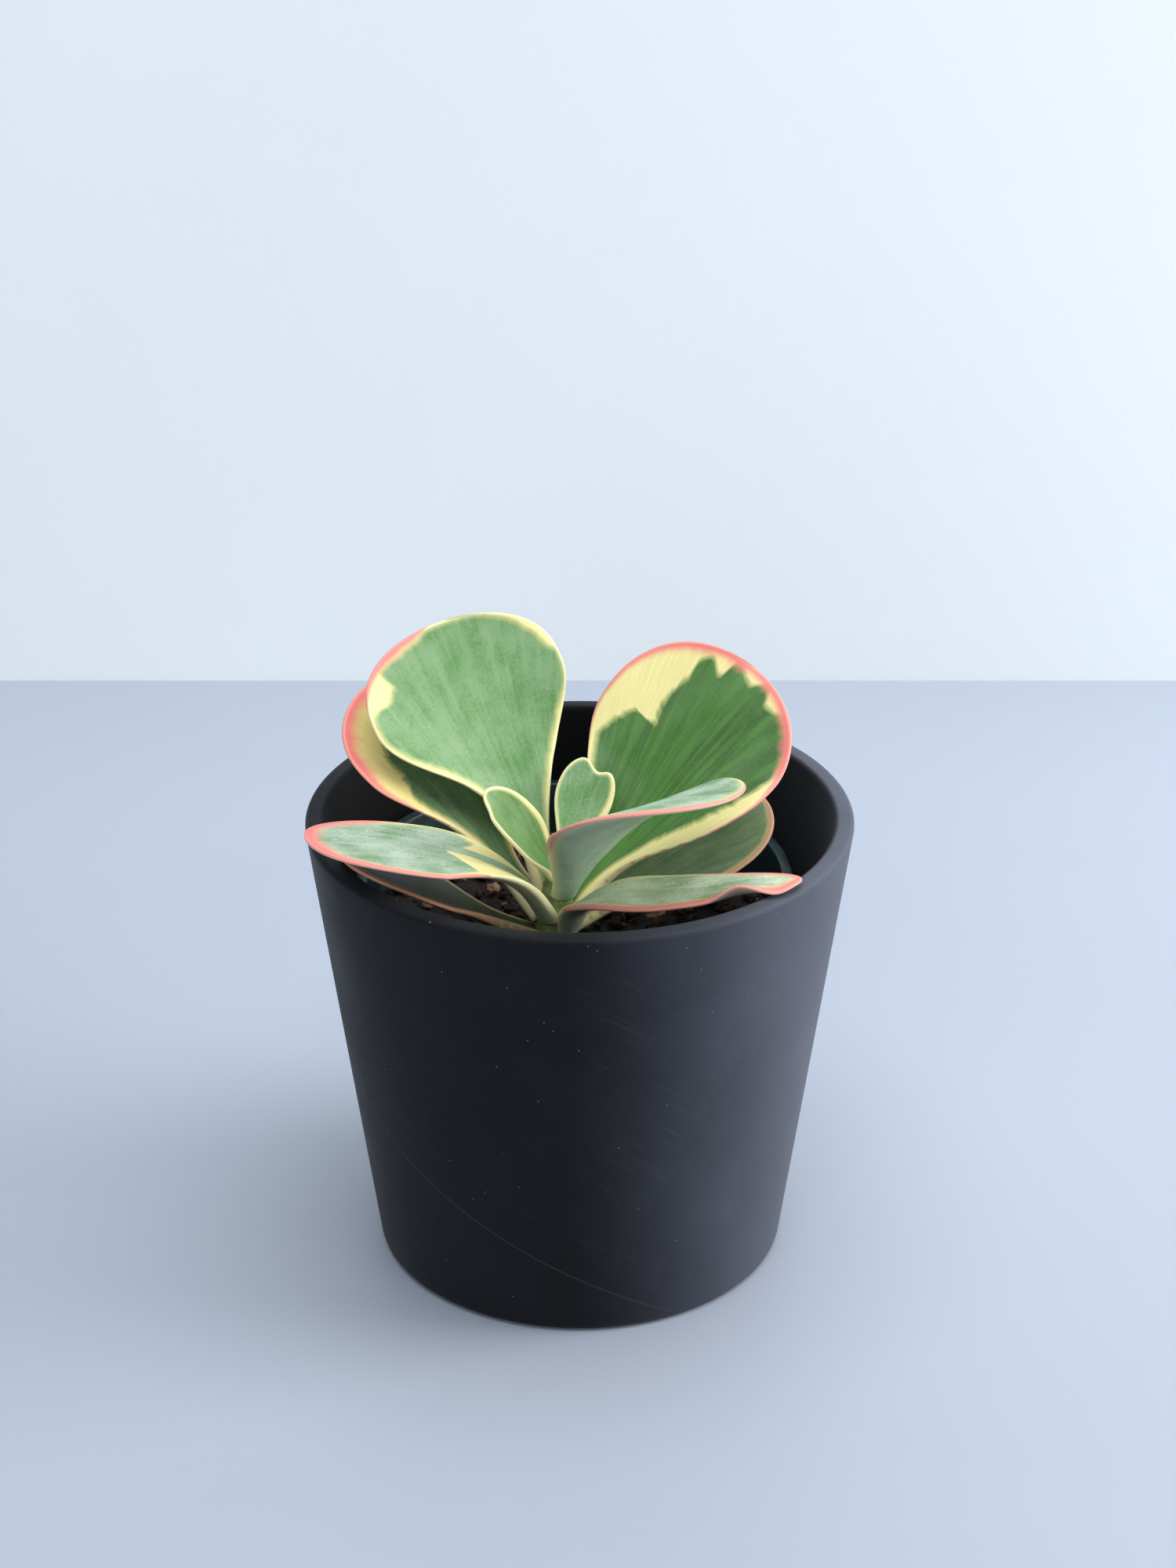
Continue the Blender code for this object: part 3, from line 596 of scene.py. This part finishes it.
def soil_material(name, dark, pale, chance):
    g = Graph(name)
    grain = g.noise(g.position(), scale=500.0, detail=6.0, roughness=0.7)
    spots = g.noise(g.position(), scale=240.0, detail=3.0, roughness=0.6)
    flecks = g.ranged(spots, chance, chance + 0.12)
    tone = g.mix(g.ranged(grain, 0.3, 0.7), dark, tuple(2.2 * part for part in dark))
    tone = g.mix(flecks, tone, pale)
    return g.finish(tone, 0.93, g.bump(grain, distance=0.0006, strength=0.8))


def stem_material():
    g = Graph("stem_green")
    streak = g.noise(g.position(), scale=260.0, detail=4.0)
    tone = g.mix(g.ranged(streak, 0.35, 0.65), (0.13, 0.20, 0.06), (0.34, 0.40, 0.15))
    return g.finish(tone, 0.5, g.bump(streak, distance=0.0003, strength=0.5),
                    Subsurface_Weight=0.08, Subsurface_Scale=0.002)


def mixed(first, second, share):
    """A colour with this share of the second one in it."""
    return tuple((1 - share) * a + share * b for a, b in zip(first, second))


def leaf_material(leaf, seed):
    """Waxy leaf skin. The fan map follows the veins; the rim map holds the place round the margin
    and the distance from it; the face map tells the upper side from the underside."""
    pale_rim = (0.90, 0.83, 0.52)
    g = Graph(leaf.name + "_skin")
    vein, along = g.uv("fan")
    rim, edge = g.uv("rim")
    upper, _ = g.uv("face")
    edge = g.times(edge, EDGE_REACH)
    upper = g.ranged(upper, 0.35, 0.65)
    streak_place = g.vector(g.times(vein, 16.0), g.times(along, 2.0), seed)
    fine_place = g.vector(g.times(vein, 60.0), g.times(along, 7.0), seed)
    teeth_place = g.vector(g.times(rim, 34.0), g.times(edge, 0.06), seed)
    streak = g.noise(streak_place, scale=1.0, detail=4.0, roughness=0.6)
    fine = g.noise(fine_place, scale=1.0, detail=3.0)
    teeth = g.noise(teeth_place, scale=1.0, detail=2.0, roughness=0.7)
    grain = g.noise(g.position(), scale=1500.0, detail=3.0, roughness=0.6)
    cloud = g.noise(g.position(), scale=95.0, detail=3.0, roughness=0.6)

    # green, with darker streaks along the veins and a powdery bloom
    dark_green = g.mix(g.ranged(streak, 0.28, 0.72), leaf.dark, leaf.green)
    powder = g.plus(g.times(cloud, 0.9), g.times(grain, 0.55))
    powder = g.plus(powder, g.times(fine, 0.25))
    bloom = g.times(g.ranged(powder, 0.55, 1.1), leaf.bloom)
    greens = g.mix(bloom, dark_green, leaf.bloom_colour)

    # cream band of varying width, with teeth and a transition of mixed colour
    band = g.curve(rim, leaf.bands, EDGE_REACH)
    rough_line = g.plus(g.times(teeth, 0.65), g.times(streak, 0.35))
    ragged = g.times(g.minus(rough_line, 0.5), leaf.jag * 2)
    ragged = g.times(ragged, g.ranged(band, 0.0, 6.0, to_low=0.2, to_high=1.0, smooth=False))
    inside = g.minus(g.minus(edge, band), ragged)
    half_way = mixed(leaf.cream, leaf.green, 0.55)
    light_cream = tuple(min(1, 1.12 * part) for part in leaf.cream)
    cream = g.mix(g.ranged(fine, 0.3, 0.8), leaf.cream, light_cream)
    tone = g.mix(g.ranged(inside, -leaf.soft, 0.4 * leaf.soft), cream, half_way)
    tone = g.mix(g.ranged(inside, 0.0, 1.6 * leaf.soft), tone, greens)

    # pink blush that fades in from the margin
    blush = g.curve(rim, leaf.blush, EDGE_REACH)
    reach = g.plus(g.times(blush, g.plus(teeth, 0.5)), 0.02)
    blushed = g.ranged(g.math('DIVIDE', edge, reach), 1.0, 0.15)
    coral = mixed(leaf.pink, leaf.cream, 0.45)
    tone = g.mix(g.times(blushed, 0.9), tone, g.mix(blushed, coral, leaf.pink))

    # underside mixed with its own colour, and the thin pale edge
    under = g.mix(g.plus(g.times(bloom, 0.4), 0.35), tone, leaf.under)
    tone = g.mix(upper, under, tone)
    rim_line = g.times(g.ranged(edge, 0.9, 0.2), 0.55)
    tone = g.mix(rim_line, tone, g.mix(g.times(blushed, 0.6), pale_rim, leaf.pink))

    rough = g.plus(g.times(bloom, 0.22), 0.40)
    normal = g.bump(grain, distance=0.00015, strength=0.35)
    normal = g.bump(g.plus(streak, g.times(fine, 0.4)), distance=0.0004, strength=0.35, after=normal)
    return g.finish(tone, rough, normal, Subsurface_Weight=0.12, Subsurface_Scale=0.0025,
                    Specular_IOR_Level=0.42)


# ---------------------------------------------------------------------------------- pots and soil

def planter_inner_radius(height):
    slope = (PLANTER_TOP_RADIUS - PLANTER_BASE_RADIUS) / PLANTER_HEIGHT
    return PLANTER_BASE_RADIUS - PLANTER_WALL + slope * height


def build_planter():
    profile = [(0, 0),
               (PLANTER_BASE_RADIUS, 0),
               (PLANTER_TOP_RADIUS, PLANTER_HEIGHT),
               (planter_inner_radius(PLANTER_HEIGHT), PLANTER_HEIGHT),
               (planter_inner_radius(PLANTER_FLOOR), PLANTER_FLOOR),
               (0, PLANTER_FLOOR)]
    outline = subdivided(rounded(profile, [0, 3.0, 1.4, 1.4, 4.0, 0]), longest=6.0)
    piece = lathe("planter_shell", outline, PLANTER_SEGMENTS, shift_x=0.0, material=planter_material())
    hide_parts("outer_pot")


def nursery_levels():
    base = PLANTER_FLOOR + GAP
    top = base + NURSERY_HEIGHT
    return base, base + NURSERY_WALL, top - NURSERY_LIP_HEIGHT, top


def nursery_outer_radius(height):
    base, _, _, top = nursery_levels()
    upper = NURSERY_RIM_RADIUS - NURSERY_LIP_WIDTH
    return NURSERY_BASE_RADIUS + (upper - NURSERY_BASE_RADIUS) * (height - base) / (top - base)


def build_nursery_pot():
    base, floor, lip, top = nursery_levels()
    profile = [(0, base),
               (nursery_outer_radius(base), base),
               (nursery_outer_radius(lip), lip),
               (NURSERY_RIM_RADIUS - NURSERY_LIP_TAPER, lip),
               (NURSERY_RIM_RADIUS, top),
               (nursery_outer_radius(top) - NURSERY_WALL, top),
               (nursery_outer_radius(lip) - NURSERY_WALL, lip),
               (nursery_outer_radius(floor) - NURSERY_WALL, floor),
               (0, floor)]
    outline = subdivided(rounded(profile, [0, 0.5, 0, 0.3, 0.4, 0.4, 0, 0.5, 0], steps=3), longest=8.0)
    material = nursery_material()
    pot = lathe("nursery_pot_shell", outline, NURSERY_SEGMENTS, NURSERY_SHIFT_X, material)
    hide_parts("nursery_pot")


def soil_height(x, y):
    stem_x, stem_y, _ = STEM_LINE[1]
    away = (x - stem_x) ** 2 + (y - stem_y) ** 2
    mound = SOIL_MOUND * math.exp(-away / (2 * SOIL_MOUND_SPREAD ** 2))
    broad = 0.5 * math.sin(0.21 * x + 0.6) * math.cos(0.17 * y - 0.4)
    fine = 0.3 * math.sin(0.13 * y + 0.37 * x)
    return SOIL_EDGE_HEIGHT + mound + (broad + fine)


def build_soil():
    """The root ball: its rough top surface is a polar grid, and its side follows the pot."""
    _, floor, _, _ = nursery_levels()
    rings, sides = SOIL_RINGS, SOIL_SIDES
    edge = nursery_outer_radius(SOIL_EDGE_HEIGHT) - NURSERY_WALL - GAP
    points = []
    for ring in range(1, rings + 1):
        radius = (edge - 0.4) * ring / rings
        for side in range(sides):
            angle = 2 * math.pi * side / sides
            x = NURSERY_SHIFT_X + radius * math.cos(angle)
            y = radius * math.sin(angle)
            rough = noise.fractal(Vector((x, y, 3.0)) * 0.22, 0.7, 2.2, 5)
            points.append((x, y, soil_height(x, y) + SOIL_ROUGHNESS * rough - 0.5))
    for height in (SOIL_EDGE_HEIGHT - 4, floor + GAP):
        radius = nursery_outer_radius(height) - NURSERY_WALL - GAP
        for side in range(sides):
            angle = 2 * math.pi * side / sides
            x = NURSERY_SHIFT_X + radius * math.cos(angle)
            points.append((x, radius * math.sin(angle), height))
    top, bottom = len(points), len(points) + 1
    points.append((NURSERY_SHIFT_X, 0, soil_height(NURSERY_SHIFT_X, 0)))
    points.append((NURSERY_SHIFT_X, 0, floor + GAP))
    faces = [tuple(reversed(face)) for face in ring_faces(rings + 2, sides, top, bottom)]
    material = soil_material("potting_mix", dark=(0.011, 0.0065, 0.0045),
                             pale=(0.05, 0.03, 0.018), chance=0.6)
    piece = link_mesh("soil_surface", points, faces, material)
    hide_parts("potting_soil")


def crumb(points, faces, centre, sizes, turn, chance):
    """Add one lumpy crumb, a jittered icosphere, to the lists of points and faces."""
    ball = bmesh.new()
    bmesh.ops.create_icosphere(ball, subdivisions=1, radius=1.0)
    first = len(points)
    for vert in ball.verts:
        spread = chance.uniform(0.72, 1.15)
        along = vert.co.x * sizes[0] * spread
        across = vert.co.y * sizes[1] * spread
        points.append((centre[0] + along * math.cos(turn) - across * math.sin(turn),
                       centre[1] + along * math.sin(turn) + across * math.cos(turn),
                       centre[2] + vert.co.z * sizes[2]))
    for face in ball.faces:
        faces.append(tuple(first + vert.index for vert in face.verts))
    ball.free()


def build_crumbs(name, count, smallest, largest, flatness, material, seed):
    """Strew crumbs over the soil, most of them small and none of them against the stem."""
    chance = random.Random(seed)
    stem_x, stem_y, _ = STEM_LINE[1]
    points, faces = [], []
    while count:
        radius = CRUMB_CENTRE_RADIUS * math.sqrt(chance.random())
        angle = chance.uniform(0, 2 * math.pi)
        x = NURSERY_SHIFT_X + radius * math.cos(angle)
        y = radius * math.sin(angle)
        size = smallest + (largest - smallest) * chance.random() ** 2.5
        if math.hypot(x - stem_x, y - stem_y) < CRUMB_STEM_ROOM + size:
            continue
        if radius + size > CRUMB_FIELD_RADIUS:
            continue
        sizes = (size, size * chance.uniform(0.5, 0.95), size * flatness)
        centre = (x, y, soil_height(x, y) + 0.2 * size)
        crumb(points, faces, centre, sizes, chance.uniform(0, 3.14), chance)
        count -= 1
    piece = link_mesh(name, points, faces, material, smooth=False)


def build_bark():
    """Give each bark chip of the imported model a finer, rough copy of itself."""
    material = soil_material("dry_bark", dark=(0.16, 0.085, 0.045), pale=(0.40, 0.26, 0.15),
                             chance=0.52)
    for node in sorted(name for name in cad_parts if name.startswith("bark_chip")):
        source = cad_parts[node]
        mesh = bpy.data.meshes.new(node.replace("bark_chip", "bark_piece"))
        build = bmesh.new()
        build.from_mesh(source.data)
        bmesh.ops.remove_doubles(build, verts=build.verts, dist=1e-6)
        bmesh.ops.subdivide_edges(build, edges=build.edges, cuts=3, use_grid_fill=True)
        for vert in build.verts:
            wobble = noise.fractal(vert.co * 420, 0.8, 2.1, 4)
            vert.co += vert.normal * (wobble * 0.35 - 0.2) * MM
        build.to_mesh(mesh)
        build.free()
        mesh.materials.clear()
        mesh.materials.append(material)
        piece = bpy.data.objects.new(mesh.name, mesh)
        bpy.context.collection.objects.link(piece)
        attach(piece, "root")
        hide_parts(node)


# ---------------------------------------------------------------------------------- the plant

def build_stem():
    path = Path(STEM_LINE)
    places = np.linspace(0, 1, STEM_ROWS)
    centre, forward = path.at(places), path.direction(places)
    side = unit(np.cross(forward, (0, 1, 0)))
    up = np.cross(side, forward)
    angle = 2 * np.pi * np.arange(STEM_SIDES) / STEM_SIDES
    height = centre[:, 2]
    swell = NODE_SWELL * np.cos((height - NODE_HEIGHT) * 2 * np.pi / NODE_SPACING)
    radius = blend(STEM_RADII, places) - 0.05 + np.where(height > STEM_BARE_HEIGHT, swell, 0.0)
    ribs = 1 + 0.02 * np.sin(5 * angle)[None, :] * np.ones((STEM_ROWS, 1))
    cosine, sine = np.cos(angle)[None, :, None], np.sin(angle)[None, :, None]
    around = side[:, None] * cosine + up[:, None] * sine
    points = centre[:, None] + around * (radius[:, None] * ribs)[..., None]
    lower_end, upper_end = centre[0] - forward[0] * 1.2, centre[-1] + forward[-1] * 0.7
    points = np.vstack([points.reshape(-1, 3), lower_end, upper_end])
    count = STEM_ROWS * STEM_SIDES
    faces = ring_faces(STEM_ROWS, STEM_SIDES, count, count + 1)
    piece = link_mesh("stem_skin", points, faces, stem_material())
    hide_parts("stem")


def half_width(leaf, side, places):
    """Half-width of one side of the blade at places along the midrib."""
    full, waist = (leaf.right, leaf.waist[1]) if side > 0 else (leaf.left, leaf.waist[0])
    growth = smooth_step((places - leaf.flare) / (leaf.widest - leaf.flare)) ** waist
    rising = leaf.petiole + (full - leaf.petiole) * growth
    past = np.clip((places - leaf.widest) / (1 - leaf.widest), 0, 1)
    return np.where(places < leaf.widest, rising, full * np.sqrt(np.maximum(1 - past ** leaf.tip, 0)))


def notch_depth(leaf, lateral, places):
    depth, spread, offset = leaf.notch
    return depth * np.exp(-((lateral - offset) / spread) ** 2) * smooth_step((places - 0.55) / 0.4)


def leaf_maps(leaf, length, places, lateral_flat):
    """Fan, rim and edge values of points on the leaf laid flat."""
    toward_tip = np.sin(np.linspace(0, np.pi / 2, OUTLINE_TIP_POINTS))
    dense = np.concatenate([np.linspace(0, leaf.widest, OUTLINE_LOW_POINTS),
                            leaf.widest + (1 - leaf.widest) * toward_tip])
    left = -half_width(leaf, -1, dense)
    right = half_width(leaf, 1, dense)
    outline_x = np.concatenate([left, right[::-1]])
    outline_s = np.concatenate([dense, dense[::-1]])
    outline_y = outline_s * length - notch_depth(leaf, outline_x, outline_s)
    flat_y = places * length - notch_depth(leaf, lateral_flat, places)
    x, y = lateral_flat.ravel(), flat_y.ravel()
    squared = (x[:, None] - outline_x[None]) ** 2 + (y[:, None] - outline_y[None]) ** 2
    edge = np.sqrt(squared.min(1))
    fan = np.arctan2(x, y + FAN_BACK) / FAN_ANGLE
    rim = np.arctan2(x, y - leaf.widest * length * RIM_CENTRE) / np.pi
    return [values.reshape(places.shape) for values in (fan, rim, edge)]


def leaf_shape(leaf):
    """Rings of points of the leaf's skin, in millimetres, and their maps. The last ring is so near
    the tip that it has almost no width."""
    path = Path(leaf.spine)
    low = leaf.widest * np.arange(LEAF_LOW_ROWS) / LEAF_LOW_ROWS
    tip_part = np.sin(np.pi / 2 * np.arange(LEAF_TIP_ROWS) / LEAF_TIP_ROWS)
    rows = np.concatenate([low, leaf.widest + (1 - leaf.widest) * tip_part])
    rows = np.append(rows, LAST_PLACE)
    angle = 2 * np.pi * np.arange(LEAF_SIDES) / LEAF_SIDES
    places = np.repeat(rows[:, None], LEAF_SIDES, 1)

    # directions along the midrib, out of the upper side and across the blade
    forward = path.direction(rows)
    face = blend(leaf.face, rows)
    face = unit(face - forward * (face * forward).sum(1, keepdims=True))
    across = np.cross(forward, face)

    # each side of the cross-section bends up in an arc, with waves and folds near the margin
    side = np.where(np.cos(angle) >= 0, 1.0, -1.0)[None, :]
    reach = np.abs(np.cos(angle))[None, :]
    left, right = half_width(leaf, -1, rows)[:, None], half_width(leaf, 1, rows)[:, None]
    width = np.where(side > 0, right, left)
    bend = np.radians(blend(leaf.cup, rows))[:, None]
    lateral = width * np.sin(bend * reach) / bend * side
    lift = width * (1 - np.cos(bend * reach)) / bend
    height, count, phase = leaf.wave
    lift = lift + height * reach ** 4 * np.sin(2 * np.pi * count * places + phase + 1.3 * side)
    for where, spread, fold_side, fold in leaf.lifts:
        along = np.exp(-((places - where) / spread) ** 2)
        lift = lift + fold * along * np.maximum(side * fold_side, 0) * reach ** 2

    # thickness: thinner from the petiole to the blade, and rounded off at the tip
    petiole_thick, blade_thick = leaf.thick
    thinning = smooth_step(rows / (0.75 * leaf.widest))
    thick = petiole_thick + (blade_thick - petiole_thick) * thinning
    past = np.clip((rows - leaf.widest) / (1 - leaf.widest), 0, 1)
    thick = (thick * np.sqrt(np.maximum(1 - past ** 8, 0)))[:, None]
    rise = np.sin(angle)
    half_thick = 0.5 * thick * (np.sign(rise) * np.abs(rise) ** EDGE_ROUNDNESS)[None, :]
    skin = (face[:, None] * np.cos(bend * reach)[..., None]
            - across[:, None] * (np.sin(bend * reach) * side)[..., None])

    points = (path.at(rows)[:, None] + across[:, None] * lateral[..., None]
              + face[:, None] * lift[..., None] + skin * half_thick[..., None])
    points = points - forward[:, None] * notch_depth(leaf, lateral, places)[..., None]
    fan, rim, edge = leaf_maps(leaf, path.length, places, width * reach * side)
    upper = 0.5 + 0.5 * np.sign(rise) * np.abs(rise) ** 0.3
    upper = np.repeat(upper[None, :], len(rows), 0)
    return points, fan, rim, edge, places, upper


def leaf_skin(name, rings, material):
    """Link the mesh of a leaf's rings. Its last two points are the middles of its two ends."""
    body = rings[:-1]
    count = len(body) * LEAF_SIDES
    points = np.vstack([body.reshape(-1, 3), body[0].mean(0), rings[-1].mean(0)])
    faces = ring_faces(len(body), LEAF_SIDES, count, count + 1)
    return link_mesh(name, points, [tuple(reversed(face)) for face in faces], material)


def build_leaf(leaf, seed):
    points, fan, rim, edge, places, upper = leaf_shape(leaf)
    piece = leaf_skin(leaf.name + "_blade", points, leaf_material(leaf, seed))

    def with_ends(values, base_value, tip_value):
        return np.concatenate([values[:-1].ravel(), [base_value, tip_value]])

    along = with_ends(places, 0, 1)
    around = with_ends(rim * 0.5 + 0.5, 0.5, 0.5)
    inward = with_ends(edge, 2, 0) / EDGE_REACH
    set_uv(piece, "fan", np.stack([with_ends(fan, 0, 0), along], -1))
    set_uv(piece, "rim", np.stack([around, inward], -1), wraps=True)
    set_uv(piece, "face", np.stack([with_ends(upper, 0.5, 0.5), along], -1))
    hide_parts(leaf.name)


def build_bud():
    """Two folded leaflets that stand against each other at the stem's tip."""
    path = Path(STEM_LINE)
    tip = np.array(1.0)
    base = path.at(tip) + path.direction(tip) * BUD_RISE
    material = stem_material()
    for index, turn in enumerate((BUD_TURN, BUD_TURN + math.pi)):
        out_x, out_y = math.cos(turn), math.sin(turn)
        leaflet = Leaf(f"bud_{index}",
                       spine=[base + (out * out_x, out * out_y, up) for out, up in BUD_SPINE],
                       face=[(-out_x, -out_y, 0.2)] * 3,
                       left=1.8, right=1.8, petiole=1.2, flare=0.0, widest=0.5, waist=(1.0, 1.0),
                       tip=2.0, cup=[70, 60, 50], thick=(1.1, 0.9), slot="leaf_green")
        piece = leaf_skin(f"bud_leaflet_{index + 1}", leaf_shape(leaflet)[0], material)
        if index == 0:
            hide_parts("leaf_bud")


# ---------------------------------------------------------------------------------- stage

def plain_material(name, colour, roughness, see_through_back=False, glow=0.0):
    g = Graph(name)
    uneven = g.noise(g.position(), scale=3.0, detail=3.0)
    tone = g.mix(g.ranged(uneven, 0.3, 0.7), colour, tuple(0.96 * part for part in colour))
    ripple = g.noise(g.position(), scale=40.0, detail=4.0)
    g.finish(tone, roughness, g.bump(ripple, distance=0.0004, strength=0.3))
    g.shader.inputs["Emission Color"].default_value = (*colour, 1.0)
    g.shader.inputs["Emission Strength"].default_value = glow
    if see_through_back:
        clear = g.add("BsdfTransparent")
        choose = g.add("MixShader")
        g.links.new(g.add("NewGeometry").outputs["Backfacing"], choose.inputs[0])
        g.links.new(g.shader.outputs[0], choose.inputs[1])
        g.links.new(clear.outputs[0], choose.inputs[2])
        g.links.new(choose.outputs[0], g.nodes["Material Output"].inputs["Surface"])
    return g.material


def flat_sheet(name, corners, material):
    """Add a flat four-cornered sheet. Its corners are in metres."""
    mesh = bpy.data.meshes.new(name)
    mesh.from_pydata(corners, [], [(0, 1, 2, 3)])
    mesh.materials.append(material)
    sheet = bpy.data.objects.new(name, mesh)
    bpy.context.collection.objects.link(sheet)
    return sheet


def build_stage():
    half, wide = FLOOR_HALF_WIDTH, BACKDROP_HALF_WIDTH
    floor = flat_sheet("floor",
                       [(-half, -half, 0), (half, -half, 0), (half, half, 0), (-half, half, 0)],
                       plain_material("floor_paint", colour=(0.40, 0.445, 0.53), roughness=0.5))
    wall = flat_sheet("backdrop",
                      [(-wide, BACKDROP_Y, BACKDROP_BOTTOM), (wide, BACKDROP_Y, BACKDROP_BOTTOM),
                       (wide, BACKDROP_Y, BACKDROP_TOP), (-wide, BACKDROP_Y, BACKDROP_TOP)],
                      plain_material("backdrop_paint", colour=(0.72, 0.765, 0.785), roughness=0.9,
                                     see_through_back=True, glow=0.14))


def area_light(name, place, target, size, power, colour):
    light = bpy.data.lights.new(name, 'AREA')
    light.shape = 'DISK'
    light.size = size
    light.energy = power
    light.color = colour
    holder = bpy.data.objects.new(name, light)
    holder.location = place
    aim = Vector(target) - Vector(place)
    holder.rotation_euler = aim.to_track_quat('-Z', 'Y').to_euler()
    bpy.context.collection.objects.link(holder)


def build_lights():
    centre = LIGHT_TARGET
    area_light("overhead", (0.15, -0.25, 1.9), centre, size=1.9, power=31.0, colour=(0.97, 0.985, 1.0))
    area_light("window", (1.3, 0.0, 0.6), centre, size=0.9, power=18.0, colour=(1.0, 0.99, 0.97))
    area_light("front_fill", (-0.3, -1.5, 0.65), centre, size=1.2, power=7.5, colour=(0.93, 0.96, 1.0))
    world = bpy.data.worlds.new("studio")
    world.use_nodes = True
    sky = world.node_tree.nodes["Background"]
    sky.inputs["Color"].default_value = (0.80, 0.88, 1.0, 1.0)
    sky.inputs["Strength"].default_value = 0.30
    bpy.context.scene.world = world


def build_camera():
    lens = bpy.data.cameras.new("camera")
    lens.sensor_width = CAMERA_SENSOR
    lens.lens = CAMERA_LENS
    lens.clip_start = 0.01
    lens.clip_end = 20.0
    camera = bpy.data.objects.new("camera", lens)
    camera.location = CAMERA_PLACE
    camera.rotation_euler = (math.pi / 2 - CAMERA_LOOKS_DOWN, 0, 0)
    bpy.context.collection.objects.link(camera)
    bpy.context.scene.camera = camera


def main():
    bpy.context.scene.view_settings.view_transform = 'Standard'
    build_camera()
    build_lights()
    build_stage()
    build_planter()
    build_nursery_pot()
    build_soil()
    dark = soil_material("dark_crumbs", dark=(0.016, 0.009, 0.006), pale=(0.07, 0.045, 0.025),
                         chance=0.6)
    tan = soil_material("tan_crumbs", dark=(0.14, 0.085, 0.045), pale=(0.38, 0.27, 0.16), chance=0.55)
    build_crumbs("soil_crumbs", count=900, smallest=0.6, largest=3.2, flatness=0.6,
                 material=dark, seed=11)
    build_crumbs("fibre_crumbs", count=160, smallest=0.5, largest=2.4, flatness=0.5,
                 material=tan, seed=23)
    build_bark()
    build_stem()
    for index, leaf in enumerate(LEAVES):
        build_leaf(leaf, 3.7 * (index + 1))
    build_bud()


main()
